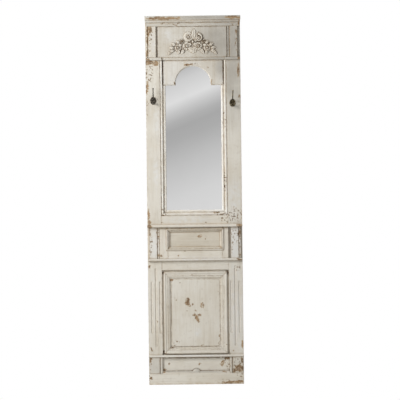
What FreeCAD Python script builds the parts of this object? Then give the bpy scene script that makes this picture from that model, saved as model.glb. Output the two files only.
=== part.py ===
import FreeCAD
import Part
import Sketcher
import math
import os
import types

# A tall painted panel mirror, built like a narrow door. Millimetres.
# Frame: X to the right, Y to the back, Z up. The origin is on the floor, in the middle of
# the width, at the back face of the stiles; the show side faces -Y.

SIZES = {
    # stiles and rails
    "overall_height": 2000,
    "body_width": 514,
    "frame_thickness": 28,
    "stile_width": 76,
    "tenon_length": 25,
    "tenon_thickness": 10,
    "tenon_shoulder": 15,
    "joint_clearance": 0.2,
    "mortise_end_room": 1.0,
    # heights from the floor up; the mirror takes what is left below the frieze
    "base_rail_height": 157,
    "door_height": 463,
    "middle_height": 296,
    # glass and backing
    "glass_thickness": 4,
    "glass_clearance": 0.3,
    "glass_edge_room": 2,
    "rebate_width": 10,
    "backing_thickness": 4,
    "backing_lap": 28,
    # mouldings round the glass
    "sight_bead_width": 11,
    "sight_bead_height": 14.5,
    "sight_bead_round": 7,
    "sight_lip": 9,
    "sight_groove_width": 7,
    "sight_groove_floor": 10,
    "sight_roll_width": 10,
    "sight_roll_height": 20.5,
    "sight_quirk_width": 3,
    "sight_quirk_height": 19.5,
    # board with the arch
    "arch_crown": 35,
    "arch_radius": 95,
    "arch_stilt": 8,
    "arch_thickness": 15,
    "arch_bevel": 6,
    # lower panel and its mouldings
    "groove_depth": 10,
    "panel_thickness": 9,
    "panel_setback": 9,
    "panel_edge_room": 1,
    "moulding_gap": 9,
    "moulding_width": 37,
    "moulding_lip": 2.5,
    "moulding_cove": 7,
    "moulding_cove_radius": 7,
    "moulding_flat": 8,
    "moulding_flat_height": 7,
    "moulding_step_height": 9,
    "moulding_bead": 12,
    "field_room": 4,
    "field_rise": 1.8,
    "field_corner": 17,
    # stopped flutes of the lower stiles
    "flute_radius": 5,
    "flute_depth": 3.5,
    "flute_shift": 4,
    "flute_pitch": 22.5,
    "flute_long_foot": 55,
    "flute_long_head": 6,
    "flute_short_foot": 126,
    "flute_short_head": 65,
    # cornice
    "cornice_thickness": 23,
    "cornice_overhang": 3,
    "cornice_projection": 27,
    "cornice_round": 5,
    "bed_height": 14,
    "bed_overhang": 1,
    "bed_projection": 21,
    "bed_foot": 15,
    "bed_radius": 9,
    "architrave_height": 20,
    "architrave_inset": 2,
    "architrave_projection": 13,
    "architrave_round": 3,
    # frieze
    "frieze_gap_left": 10,
    "frieze_gap_right": 4,
    "frieze_thickness": 7,
    "casing_width": 54,
    "casing_thickness": 12,
    "casing_bead": 9,
    "casing_quirk": 4,
    "casing_quirk_depth": 6,
    "frieze_casing_inset_left": 3,
    "frieze_casing_inset_right": 15,
    # necking under the frieze
    "cap_height": 15,
    "cap_width": 86,
    "cap_projection": 16,
    "cap_round": 6,
    "neck_strip_projection": 5,
    "neck_strip_round": 2,
    # carved crest, measured from its own foot in the middle of the frieze, which is as high as it needs
    "crest_shift": -1,
    "crest_lift": 10,
    "crest_headroom": 10,
    "crest_ground": 3,
    "crest_relief": 12,
    "rosette_radius": 23,
    "rosette_across": 30,
    "rosette_up": 54,
    "flower_radius": 20,
    "flower_across": 79,
    "flower_up": 42,
    "bud_radius": 9,
    "bud_across": 56,
    "bud_up": 78,
    "scroll_radius": 28,
    "scroll_width": 14,
    "scroll_across": 23,
    "scroll_up": 96,
    "plume_length": 62,
    "plume_width": 24,
    "plume_up": 86,
    "side_plume_length": 54,
    "side_plume_width": 19,
    "leaf_length": 38,
    "leaf_width": 16,
    "tail_length": 56,
    "tail_width": 17,
    "tail_across": 90,
    "tail_up": 40,
    "drop_length": 34,
    "drop_width": 15,
    "drop_up": 46,
    # shelf and apron
    "shelf_drop": 63,
    "shelf_thickness": 14,
    "shelf_overhang": 1,
    "shelf_projection": 33,
    "shelf_round": 5,
    "apron_ledge_lift": 51,
    "ledge_thickness": 12,
    "apron_ledge_inset": 2,
    "apron_ledge_projection": 18,
    "ledge_round": 4,
    "apron_thickness": 14,
    "apron_gap_right": 14,
    "apron_stile_width": 34,
    "apron_rail_bottom_height": 52,
    "apron_rail_top_height": 15,
    "apron_panel_thickness": 4,
    "apron_casing_inset_left": 10,
    "apron_casing_inset_right": 8,
    "apron_moulding_width": 20,
    "apron_moulding_lap": 9,
    "apron_moulding_lip": 4,
    "apron_moulding_cove": 7,
    "apron_moulding_cove_radius": 9,
    "apron_moulding_flat_height": 12,
    "apron_moulding_bead": 9,
    "apron_moulding_bead_height": 13,
    # plinth
    "base_ledge_drop": 9,
    "base_ledge_overhang": 1,
    "base_ledge_projection": 19,
    "plinth_block_width": 72,
    "plinth_block_inset": 3,
    "plinth_block_bead": 13,
    "plinth_thickness": 14,
    "plinth_end_height": 60,
    "plinth_step": 12,
    "plinth_chamfer": 8,
    "hump_half_width": 20,
    "hump_rise": 14,
    # coat hooks
    "hook_left_shift": 1,
    "hook_left_drop": 219,
    "hook_right_shift": 7,
    "hook_right_drop": 235,
    "hook_right_lean": 3,
    "hook_plate_width": 32,
    "hook_plate_height": 43,
    "hook_plate_thickness": 5,
    "hook_plate_bevel": 3,
    "prong_radius": 3,
    "prong_reach": 40,
    "prong_rise": 8,
    "prong_top": 66,
    "prong_bend": 30,
    "prong_tip_radius": 4,
    "knob_arm_radius": 4,
    "knob_reach": 26,
    "knob_drop": 12,
    "knob_radius": 9,
    "hook_screw_spread": 18,
    "hook_screw_drop": 2,
    # wall hangers on the back
    "hanger_drop": 70,
    "strap_width": 12,
    "strap_end": 8,
    "strap_thickness": 1.2,
    "ring_wire_radius": 1.5,
    "ring_running_clearance": 0.08,
    "knuckle_lift": 0.4,
    "ring_width": 21,
    "ring_height": 24,
    "ring_corner": 3,
    "ring_foot_corner": 7,
    "strap_screw_room": 6,
    "strap_screw_pitch": 18,
    # screws and bumpers
    "screw_radius": 1.6,
    "screw_clearance": 0.1,
    "screw_head_radius": 3.2,
    "screw_head_height": 2,
    "screw_length": 16,
    "backing_screw_count": 4,
    "backing_screw_inset": 40,
    "bumper_radius": 11,
    "bumper_thickness": 9,
    "bumper_from_floor": 60,
    "bumper_from_top": 77,
}

# Small round things are drawn with flats
FLAT_COUNT = 8
BUMPER_FLAT_COUNT = 12
PLATE_FLAT_COUNT = 16
# Radius of a bead against its width
BEAD_SHARE = 0.6
# Half the width of a bar of eight flats against its radius, and the share its corners lose
BAR_SHARE = 0.9
CORNER_SHARE = 2 - math.sqrt(2)

# Carving: heights as shares of the relief, bevels as shares of a width or a radius
LEAF_SHARE = 0.65
PETAL_SHARE = 0.5
HEART_SHARE = 0.75
BUTTON_SHARE = 0.95
LEAF_BEVEL = 0.28
PETAL_BEVEL = 0.15
BUTTON_BEVEL = 0.3
# Where a leaf is widest, as shares of its length
LEAF_SHOULDERS = (0.34, 0.62)
# Flowers: petals, how deep their gaps go, where a petal starts and ends in its part of the turn, and
# the turn of the inner ring in parts of a petal
PETAL_COUNT = 6
PETAL_GAP = 0.7
PETAL_ENDS = (0.26, 0.74)
HEART_TURN = 0.5
HEART_RADIUS = 0.62
BUTTON_RADIUS = 0.25
SCROLL_SWEEP = math.radians(230)
SCROLL_STEP_COUNT = 6
# Lean of the leaves from upright, in degrees
SIDE_PLUME_LEAN = 25
DROP_LEAN = 32
UPPER_LEAF_LEAN = 60
OUTER_LEAF_LEAN = 80
TAIL_LEAN = 133
SLIVER = 0.01

FRONT = FreeCAD.Vector(0, -1, 0)
BACK = -FRONT
RIGHT = FreeCAD.Vector(1, 0, 0)
UP = FreeCAD.Vector(0, 0, 1)

document = FreeCAD.newDocument("PanelMirror")
sheet = document.addObject("Spreadsheet::Sheet", "Sizes")
for row, (alias, number) in enumerate(SIZES.items(), start=1):
    sheet.set(f"A{row}", alias)
    sheet.set(f"B{row}", str(number))
    sheet.setAlias(f"B{row}", alias)
document.recompute()


class Length:
    """A size that knows both its value and the sheet expression it comes from."""

    def __init__(self, text, value):
        self.text = text
        self.value = float(value)

    def joined(self, sign, other, value):
        return Length(f"({self.text} {sign} {other.text})", value)

    def __add__(self, other):
        other = length(other)
        return self.joined("+", other, self.value + other.value)

    def __sub__(self, other):
        other = length(other)
        return self.joined("-", other, self.value - other.value)

    def __mul__(self, other):
        other = length(other)
        return self.joined("*", other, self.value * other.value)

    def __truediv__(self, other):
        other = length(other)
        return self.joined("/", other, self.value / other.value)

    def __radd__(self, other):
        return length(other) + self

    def __rsub__(self, other):
        return length(other) - self

    def __rmul__(self, other):
        return length(other) * self

    def __neg__(self):
        return Length(f"(-{self.text})", -self.value)


def length(number):
    """Any number as a Length."""
    if isinstance(number, Length):
        return number
    return Length(f"({float(number)})", number)


d = types.SimpleNamespace(**{alias: Length(f"Sizes.{alias}", number) for alias, number in SIZES.items()})
NIL = length(0)
nodes = []


# Small helpers: binding, placing, primitives and booleans

def bind(item, prop, size):
    item.setExpression(prop, length(size).text)


def place(item, x, y, z, rotation=FreeCAD.Rotation()):
    item.Placement = FreeCAD.Placement(FreeCAD.Vector(), rotation)
    for axis, size in zip("xyz", (x, y, z)):
        bind(item, f"Placement.Base.{axis}", size)
    return item


def node(item, name):
    """Keep a finished piece under its own name."""
    item.Label = name
    nodes.append(item)
    return item


def board(name, x, y, z):
    """A squared board between two limits on each axis."""
    box = document.addObject("Part::Box", name)
    for prop, (low, high) in zip(("Length", "Width", "Height"), (x, y, z)):
        bind(box, prop, length(high) - low)
    return place(box, x[0], y[0], z[0])


def rod(name, radius, reach, x, y, z, direction):
    """A round bar that starts at a point and runs in a direction."""
    bar = document.addObject("Part::Cylinder", name)
    bind(bar, "Radius", radius)
    bind(bar, "Height", reach)
    return place(bar, x, y, z, FreeCAD.Rotation(UP, direction))


def flat_bar(name, flats, radius, reach, x, y, z, direction):
    """A bar with flats that starts at a point and runs in a direction."""
    bar = document.addObject("Part::Prism", name)
    bar.Polygon = flats
    bind(bar, "Circumradius", radius)
    bind(bar, "Height", reach)
    return place(bar, x, y, z, FreeCAD.Rotation(UP, direction))


def ball(name, radius, x, y, z):
    sphere = document.addObject("Part::Sphere", name)
    bind(sphere, "Radius", radius)
    return place(sphere, x, y, z)


def joined(name, pieces):
    union = document.addObject("Part::MultiFuse", name)
    union.Shapes = pieces
    return union


def group(name, pieces):
    """Separate solids that are kept together in one piece of the list."""
    bundle = document.addObject("Part::Compound", name)
    bundle.Links = pieces
    return bundle


def carved(name, base, tools):
    """A base with every tool cut out of it."""
    cut = document.addObject("Part::Cut", name)
    cut.Base = base
    cut.Tool = tools[0] if len(tools) == 1 else joined(f"{name}_tools", tools)
    return cut


# Sketches and bodies

def arc_between(start, end, radius):
    """The short arc from start to end, turning left where the radius is positive."""
    chord = end - start
    rise = math.sqrt(max(radius * radius - chord.Length ** 2 / 4, 0))
    left = FreeCAD.Vector(-chord.y, chord.x, 0).normalize()
    centre = (start + end) * 0.5 + left * math.copysign(rise, radius)
    first, last = (start, end) if radius > 0 else (end, start)
    circle = Part.Circle(centre, UP, abs(radius))
    angles = [math.atan2(point.y - centre.y, point.x - centre.x) for point in (first, last)]
    return Part.ArcOfCircle(circle, *angles)


def draw(sketch, corners):
    """Draw through corners (u, v) or (u, v, radius), whose radius bends the edge that leaves it."""
    points = [FreeCAD.Vector(length(c[0]).value, length(c[1]).value, 0) for c in corners]
    ends = []
    rules = []
    for index in range(len(corners)):
        start = points[index]
        end = points[(index + 1) % len(points)]
        bent = len(corners[index]) == 3
        radius = length(corners[index][2]).value if bent else 0
        edge = arc_between(start, end, radius) if bent else Part.LineSegment(start, end)
        number = sketch.addGeometry(edge, False)
        ends.append(((number, 1), (number, 2)) if radius >= 0 else ((number, 2), (number, 1)))
        if bent:
            size = length(corners[index][2])
            rules.append(("Radius", (number,), size if radius > 0 else -size))
    for index, (start, end) in enumerate(ends):
        rules.append(("DistanceX", (-1, 1, *start), length(corners[index][0])))
        rules.append(("DistanceY", (-1, 1, *start), length(corners[index][1])))
        rules.append(("Coincident", (*ends[index - 1][1], *start), None))
    limits = []
    for kind, where, size in rules:
        limits.append(Sketcher.Constraint(kind, *where, *([] if size is None else [size.value])))
    first = len(sketch.Constraints)
    sketch.addConstraint(limits)
    for index, (kind, where, size) in enumerate(rules, start=first):
        if size is not None:
            bind(sketch, f"Constraints[{index}]", size)


def new_body(name):
    return document.addObject("PartDesign::Body", name)


def origin_part(body, role):
    return next(part for part in body.Origin.OriginFeatures if part.Role == role)


def new_sketch(body, name, plane):
    sketch = body.newObject("Sketcher::SketchObject", name)
    sketch.AttachmentSupport = [(origin_part(body, plane), "")]
    sketch.MapMode = "FlatFace"
    return sketch


def outline(body, name, plane, *loops):
    sketch = new_sketch(body, name, plane)
    for corners in loops:
        draw(sketch, corners)
    return sketch


def pad(body, sketch, depth):
    extrusion = body.newObject("PartDesign::Pad", f"{body.Name}_pad")
    extrusion.Profile = sketch
    bind(extrusion, "Length", depth)
    return extrusion


def pocket(body, name, corners):
    """Cut an outline in X and Y right through the body, upwards."""
    before = body.Shape.Volume
    cut = body.newObject("PartDesign::Pocket", f"{body.Name}_{name}")
    cut.Profile = outline(body, f"{body.Name}_{name}_outline", "XY_Plane", corners)
    cut.Type = "ThroughAll"
    cut.Reversed = True
    document.recompute()
    if body.Shape.Volume > before - 1:
        raise RuntimeError(f"{body.Name}: {name} cuts nothing")
    return cut


def run_across(name, corners, x):
    """A moulding along X from a section in Y and Z."""
    body = new_body(name)
    pad(body, outline(body, f"{name}_section", "YZ_Plane", corners), length(x[1]) - x[0])
    return place(body, x[0], NIL, NIL)


def run_up(name, corners, z):
    """A moulding along Z from a section in X and Y."""
    body = new_body(name)
    pad(body, outline(body, f"{name}_section", "XY_Plane", corners), length(z[1]) - z[0])
    return place(body, NIL, NIL, z[0])


def cut_forward(name, corners, back, thickness):
    """A board sawn to an outline in X and Z, from its back face to the front."""
    body = new_body(name)
    pad(body, outline(body, f"{name}_outline", "XZ_Plane", corners), thickness)
    return place(body, NIL, back, NIL)


def edges_where(body, wanted):
    """Names of the edges of a body whose middle point is wanted."""
    names = []
    for index, edge in enumerate(body.Tip.Shape.Edges, start=1):
        if wanted(edge.valueAt((edge.FirstParameter + edge.LastParameter) / 2)):
            names.append(f"Edge{index}")
    return names


def bevel(body, size, wanted):
    """Bevel the wanted edges of a body."""
    document.recompute()
    base = body.Tip
    names = edges_where(body, wanted)
    cut = body.newObject("PartDesign::Chamfer", f"{body.Name}_bevel")
    cut.Base = (base, names)
    bind(cut, "Size", size)


def bent_bar(name, plane, half, loops):
    """A bent bar of eight flats, sawn to the outline of its bends and bevelled on all its edges."""
    body = new_body(name)
    flat = pad(body, outline(body, f"{name}_outline", plane, *loops), half * 2)
    flat.SideType = "Symmetric"

    def on_side(point):
        offset = point.x if plane == "YZ_Plane" else point.y
        return abs(abs(offset) - half.value) < SLIVER

    bevel(body, half * CORNER_SHARE, on_side)
    return body


def nosed_run(name, x, back, projection, level, thickness, round_off):
    """A strip along X with both front edges rounded."""
    front = back - projection
    top = level + thickness
    section = [
        (back, level),
        (back, top),
        (front + round_off, top, round_off),
        (front, top - round_off),
        (front, level + round_off, round_off),
        (front + round_off, level),
    ]
    return run_across(name, section, x)


def nosed_board(name, half, *section):
    """A shelf, ledge or crown right across the front, with both front edges rounded."""
    return nosed_run(name, (-half, half), *section)


def mitred(name, section, width, run, mitre_start, mitre_end, notch=None):
    """A length of moulding along its own X, inner edge at Y 0, with ends cut at 45 degrees."""
    body = new_body(name)
    pad(body, outline(body, f"{name}_section", "YZ_Plane", section), run)
    document.recompute()
    if mitre_start:
        pocket(body, "start_mitre", [(NIL, NIL), (width, NIL), (NIL, width)])
    if mitre_end:
        pocket(body, "end_mitre", [(run - width, NIL), (run, NIL), (run, width)])
    if notch:
        low, high, depth = notch
        pocket(body, "notch", [(low, NIL), (high, NIL), (high, depth), (low, depth)])
    return body


def turned(quarter):
    """The turn that lays a moulding on the front: 0 along the top, then clockwise."""
    return FreeCAD.Rotation(BACK, 90 * quarter) * FreeCAD.Rotation(RIGHT, 90)


def moulding_frame(prefix, section, width, half_width, low, high, face):
    """Four mitred mouldings round a rectangle given by its outer edges."""
    span = half_width + half_width
    rise = high - low
    sides = {
        "top": (0, span, (-half_width, face, high - width)),
        "right": (1, rise, (half_width - width, face, high)),
        "bottom": (2, span, (half_width, face, low + width)),
        "left": (3, rise, (width - half_width, face, low)),
    }
    for side, (quarter, run, corner) in sides.items():
        piece = mitred(f"{prefix}_{side}", section, width, run, True, True)
        node(place(piece, *corner, turned(quarter)), f"{prefix}_{side}")


# Levels and planes that several pieces share

front_face = -d.frame_thickness
half_body = d.body_width / 2
inner_edge = half_body - d.stile_width
stile_middle = half_body - d.stile_width / 2
stile_top = d.overall_height - d.cornice_thickness
frieze_head = stile_top - d.bed_height - d.architrave_height
frieze_foot = frieze_head - d.crest_headroom - d.plume_length - d.plume_up - d.crest_lift
neck_level = frieze_foot - d.cap_height
top_seam = (neck_level + stile_top) / 2
door_sill = d.base_rail_height
door_head = door_sill + d.door_height
mirror_sill = door_head + d.middle_height
rail_seam = (door_head + mirror_sill) / 2
base_ledge_level = door_sill - d.base_ledge_drop
apron_ledge_level = door_head + d.apron_ledge_lift
apron_foot = apron_ledge_level + d.ledge_thickness
shelf_level = mirror_sill - d.shelf_drop
rebate_depth = d.glass_thickness + d.glass_clearance
sight_width = d.sight_bead_width + d.sight_groove_width + d.sight_roll_width + d.sight_quirk_width
arch_level = neck_level - d.arch_crown - d.arch_radius - d.arch_stilt
panel_front = front_face + d.panel_setback
panel_back = panel_front + d.panel_thickness
hole_radius = d.screw_radius + d.screw_clearance
knuckle_radius = d.ring_wire_radius + d.ring_running_clearance + d.strap_thickness
ring_axis = knuckle_radius + d.knuckle_lift


# Screws: a flat head on a plain shank, driven along Y

def screw(name, x, y, z, direction):
    """A screw whose head sits on a surface at y and whose shank runs in a direction."""
    head_end = y - d.screw_head_height * direction.y
    shank = flat_bar(f"{name}_shank", FLAT_COUNT, d.screw_radius, d.screw_length, x, y, z, direction)
    head = flat_bar(f"{name}_head", FLAT_COUNT, d.screw_head_radius, d.screw_head_height, x, head_end, z,
                    direction)
    return joined(name, [shank, head])


def screw_hole(name, x, y, z, direction):
    """The hole for such a screw, a little wider and deeper than its shank."""
    reach = d.screw_length + d.mortise_end_room
    return flat_bar(name, FLAT_COUNT, hole_radius, reach, x, y, z, direction)


# Places of the screws that hold the backing, the straps and the hooks

backing_edge = inner_edge + d.backing_lap
backing_side = (inner_edge + d.rebate_width + backing_edge) / 2
backing_low = mirror_sill - d.backing_lap
backing_high = neck_level + d.backing_lap
backing_pitch = (backing_high - backing_low - d.backing_screw_inset * 2) / (d.backing_screw_count - 1)
backing_levels = []
for index in range(SIZES["backing_screw_count"]):
    backing_levels.append(backing_low + d.backing_screw_inset + backing_pitch * index)
hanger_across = (backing_edge + half_body) / 2
hanger_level = neck_level - d.hanger_drop
strap_screw_first = d.ring_height - d.strap_screw_room
strap_levels = []
for index in range(2):
    strap_levels.append(hanger_level - strap_screw_first - d.strap_screw_pitch * index)
strap_foot = strap_levels[-1] - d.strap_end
SIDES = {"left": -1, "right": 1}
LEAN = FreeCAD.Rotation(BACK, SIZES["hook_right_lean"])
HOOKS = {
    "left": (d.hook_left_shift - stile_middle, neck_level - d.hook_left_drop, FreeCAD.Rotation()),
    "right": (stile_middle - d.hook_right_shift, neck_level - d.hook_right_drop, LEAN),
}


def hook_screws(name, side, make):
    """Both screws, or both screw holes, of one coat hook, in the place of that hook."""
    across, level, lean = HOOKS[side]
    pair = []
    for end in (-1, 1):
        x = d.hook_screw_spread / 2 * end
        pair.append(make(f"{name}_{end + 1}", x, -d.hook_plate_thickness, -d.hook_screw_drop, BACK))
    return place(group(name, pair), across, front_face, level, lean)


# Stiles

def tenon_levels(low, high):
    return low + d.tenon_shoulder, high - d.tenon_shoulder


RAILS = {
    "base_rail": (NIL, door_sill),
    "lock_rail": (door_head, rail_seam),
    "mirror_rail": (rail_seam, mirror_sill),
    "neck_rail": (neck_level, top_seam),
    "top_rail": (top_seam, stile_top),
}


def flute(name, x, low, high):
    """A round-bottomed flute with round ends."""
    depth = front_face - d.flute_radius + d.flute_depth
    bar = rod(f"{name}_bar", d.flute_radius, high - low, x, depth, low, UP)
    ends = [ball(f"{name}_end_{index}", d.flute_radius, x, depth, z) for index, z in enumerate((low, high))]
    return joined(name, [bar] + ends)


def stile(side):
    """A full-height stile with its mortises, glass rebate, panel groove, flutes and screw holes."""
    name = f"stile_{side}"
    hand = SIDES[side]

    def across(start, end):
        """Limits on X for two distances from the middle of the mirror."""
        return (start, end) if hand > 0 else (-end, -start)

    blank = board(f"{name}_blank", across(inner_edge, half_body), (front_face, NIL), (NIL, stile_top))
    slack = d.joint_clearance
    tools = []
    half_mortise = d.tenon_thickness / 2 + slack
    mortise_y = (front_face / 2 - half_mortise, front_face / 2 + half_mortise)
    mortise_x = across(inner_edge, inner_edge + d.tenon_length + d.mortise_end_room)
    for rail_name, limits in RAILS.items():
        low, high = tenon_levels(*limits)
        tools.append(board(f"{name}_{rail_name}_mortise", mortise_x, mortise_y, (low - slack, high + slack)))
    rebate_z = (mirror_sill - d.rebate_width, neck_level + d.rebate_width)
    rebate_x = across(inner_edge, inner_edge + d.rebate_width)
    tools.append(board(f"{name}_rebate", rebate_x, (-rebate_depth, NIL), rebate_z))
    groove_z = (door_sill - d.groove_depth, door_head + d.groove_depth)
    groove_x = across(inner_edge, inner_edge + d.groove_depth)
    tools.append(board(f"{name}_groove", groove_x, (panel_front - slack, panel_back + slack), groove_z))
    long_flute = (door_sill + d.flute_long_foot, door_head + d.flute_long_head)
    short_flute = (door_sill + d.flute_short_foot, door_head - d.flute_short_head)
    for step, limits in ((-1, short_flute), (0, long_flute), (1, short_flute)):
        x = (stile_middle - d.flute_shift + d.flute_pitch * step) * hand
        tools.append(flute(f"{name}_flute_{step + 1}", x, *limits))
    for index, level in enumerate(backing_levels):
        tools.append(screw_hole(f"{name}_backing_hole_{index}", backing_side * hand, NIL, level, FRONT))
    for index, level in enumerate(strap_levels):
        x = hanger_across * hand
        tools.append(screw_hole(f"{name}_strap_hole_{index}", x, d.strap_thickness, level, FRONT))
    tools.append(hook_screws(f"{name}_hook_holes", side, screw_hole))
    node(carved(name, blank, tools), name)


# Rails and the loose panel

def rail(name, trim):
    """A cross rail with a stub tenon at each end; trim is the rebate or groove it needs."""
    low, high = RAILS[name]
    plank = board(f"{name}_plank", (-inner_edge, inner_edge), (front_face, NIL), (low, high))
    reach = inner_edge + d.tenon_length
    tenon_y = (front_face / 2 - d.tenon_thickness / 2, front_face / 2 + d.tenon_thickness / 2)
    tenon = board(f"{name}_tenon", (-reach, reach), tenon_y, tenon_levels(low, high))
    whole = joined(f"{name}_whole", [plank, tenon])
    if trim:
        depth, level = trim
        whole = carved(f"{name}_cut", whole, [board(f"{name}_trim", (-inner_edge, inner_edge), depth, level)])
    node(whole, name)


def door_field():
    """The low raised field of the lower panel, with round corners, inside its mouldings."""
    margin = d.moulding_gap + d.moulding_width + d.field_room
    side = inner_edge - margin
    low = door_sill + margin
    high = door_head - margin
    bend = d.field_corner
    corners = [
        (bend - side, low),
        (side - bend, low, bend),
        (side, low + bend),
        (side, high - bend, bend),
        (side - bend, high),
        (bend - side, high, bend),
        (-side, high - bend),
        (-side, low + bend, bend),
    ]
    return cut_forward("door_field", corners, panel_front, d.field_rise)


def rails_and_panel():
    slack = d.joint_clearance
    groove_y = (panel_front - slack, panel_back + slack)
    rebate_y = (-rebate_depth, NIL)
    rail("base_rail", (groove_y, (door_sill - d.groove_depth, door_sill)))
    rail("lock_rail", (groove_y, (door_head, door_head + d.groove_depth)))
    rail("mirror_rail", (rebate_y, (mirror_sill - d.rebate_width, mirror_sill)))
    rail("neck_rail", (rebate_y, (neck_level, neck_level + d.rebate_width)))
    rail("top_rail", None)
    tongue = d.groove_depth - d.panel_edge_room
    panel_x = (-inner_edge - tongue, inner_edge + tongue)
    panel_z = (door_sill - tongue, door_head + tongue)
    panel = board("door_panel_board", panel_x, (panel_front, panel_back), panel_z)
    node(joined("door_panel_whole", [panel, door_field()]), "door_panel")


def door_mouldings():
    """The wide moulding that frames the lower panel: cove, flat, step and bead."""
    flat_end = d.moulding_cove + d.moulding_flat
    bead_start = d.moulding_width - d.moulding_bead
    section = [
        (NIL, NIL),
        (NIL, d.moulding_lip, d.moulding_cove_radius),
        (d.moulding_cove, d.moulding_flat_height),
        (flat_end, d.moulding_flat_height),
        (flat_end, d.moulding_step_height),
        (bead_start, d.moulding_step_height, -d.moulding_bead * BEAD_SHARE),
        (d.moulding_width, d.moulding_step_height),
        (d.moulding_width, NIL),
    ]
    half_width = inner_edge - d.moulding_gap
    low = door_sill + d.moulding_gap
    high = door_head - d.moulding_gap
    moulding_frame("panel_moulding", section, d.moulding_width, half_width, low, high, panel_front)


# Mirror: glass, backing, mouldings and arch

def sight_mouldings():
    """Two uprights and a sill round the glass; the inner bead stops under the arch board."""
    groove_end = d.sight_bead_width + d.sight_groove_width
    roll_end = groove_end + d.sight_roll_width
    section = [
        (NIL, NIL),
        (NIL, d.sight_lip, -d.sight_bead_round),
        (d.sight_bead_round, d.sight_bead_height),
        (d.sight_bead_width, d.sight_bead_height),
        (d.sight_bead_width, d.sight_groove_floor),
        (groove_end, d.sight_groove_floor),
        (groove_end, d.sight_roll_height, -d.sight_roll_width * BEAD_SHARE),
        (roll_end, d.sight_roll_height),
        (roll_end, d.sight_quirk_height),
        (sight_width, d.sight_quirk_height),
        (sight_width, NIL),
    ]
    width = sight_width
    rise = neck_level - mirror_sill
    covered = neck_level - arch_level
    span = inner_edge + inner_edge
    glass_edge = inner_edge - width
    bead = d.sight_bead_width
    right = mitred("sight_moulding_right", section, width, rise, False, True, (NIL, covered, bead))
    node(place(right, glass_edge, -rebate_depth, neck_level, turned(1)), "sight_moulding_right")
    left = mitred("sight_moulding_left", section, width, rise, True, False, (rise - covered, rise, bead))
    node(place(left, -glass_edge, -rebate_depth, mirror_sill, turned(3)), "sight_moulding_left")
    sill = mitred("sight_moulding_bottom", section, width, span, True, True)
    node(place(sill, inner_edge, -rebate_depth, mirror_sill + width, turned(2)), "sight_moulding_bottom")


def arch_board():
    """The board over the glass, sawn to a stilted round arch with a bevelled edge."""
    half = inner_edge - sight_width + d.sight_bead_width
    spring = arch_level + d.arch_stilt
    corners = [
        (-half, arch_level),
        (-d.arch_radius, arch_level),
        (-d.arch_radius, spring, -d.arch_radius),
        (NIL, spring + d.arch_radius, -d.arch_radius),
        (d.arch_radius, spring),
        (d.arch_radius, arch_level),
        (half, arch_level),
        (half, neck_level),
        (-half, neck_level),
    ]
    body = cut_forward("arch_board", corners, -rebate_depth, d.arch_thickness)

    def on_arch(point):
        in_front = abs(point.y + d.arch_thickness.value) < SLIVER
        return in_front and abs(point.x) < half.value - SLIVER and point.z < neck_level.value - SLIVER

    bevel(body, d.arch_bevel, on_arch)
    node(body, "arch_board")


def glass_and_backing():
    room = d.rebate_width - d.glass_edge_room
    glass_x = (-inner_edge - room, inner_edge + room)
    glass_z = (mirror_sill - room, neck_level + room)
    node(board("mirror_glass", glass_x, (-rebate_depth, -d.glass_clearance), glass_z), "mirror_glass")
    sheet_y = (NIL, d.backing_thickness)
    ply = board("backing_sheet", (-backing_edge, backing_edge), sheet_y, (backing_low, backing_high))
    holes = []
    screws = []
    for side, hand in SIDES.items():
        for index, level in enumerate(backing_levels):
            x = backing_side * hand
            name = f"backing_{side}_{index}"
            holes.append(screw_hole(f"{name}_hole", x, d.backing_thickness, level, FRONT))
            screws.append(screw(f"{name}_screw", x, d.backing_thickness, level, FRONT))
    node(carved("mirror_backing", ply, holes), "mirror_backing")
    node(group("backing_screws", screws), "backing_screws")


# Casings and plinth blocks: a flat face, a quirk and a bead along one edge

def casing(name, left, width, bead, bead_on_left, z):
    thickness = d.casing_thickness
    shoulder = thickness - d.casing_quirk
    turn = 1 if bead_on_left else -1

    def across(inset):
        return left + inset if bead_on_left else left + width - inset

    section = [
        (across(NIL), front_face),
        (across(NIL), front_face - shoulder, bead * BEAD_SHARE * turn),
        (across(bead), front_face - shoulder),
        (across(bead), front_face - thickness + d.casing_quirk_depth),
        (across(bead + d.casing_quirk), front_face - thickness + d.casing_quirk_depth),
        (across(bead + d.casing_quirk), front_face - thickness),
        (across(width), front_face - thickness),
        (across(width), front_face),
    ]
    node(run_up(name, section, z), name)


def casings():
    width = d.casing_width
    bead = d.casing_bead
    frieze_z = (frieze_foot, frieze_head)
    left = d.frieze_casing_inset_left - half_body
    right = half_body - d.frieze_casing_inset_right - width
    casing("frieze_casing_left", left, width, bead, True, frieze_z)
    casing("frieze_casing_right", right, width, bead, True, frieze_z)
    apron_z = (apron_foot, shelf_level)
    left = d.apron_casing_inset_left - half_body
    right = half_body - d.apron_casing_inset_right - width
    casing("apron_casing_left", left, width, bead, False, apron_z)
    casing("apron_casing_right", right, width, bead, False, apron_z)
    width = d.plinth_block_width
    bead = d.plinth_block_bead
    plinth_z = (d.plinth_end_height, base_ledge_level)
    left = d.plinth_block_inset - half_body
    casing("plinth_block_left", left, width, bead, False, plinth_z)
    casing("plinth_block_right", -left - width, width, bead, True, plinth_z)


# Crown, necking, ledges and shelf

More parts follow.
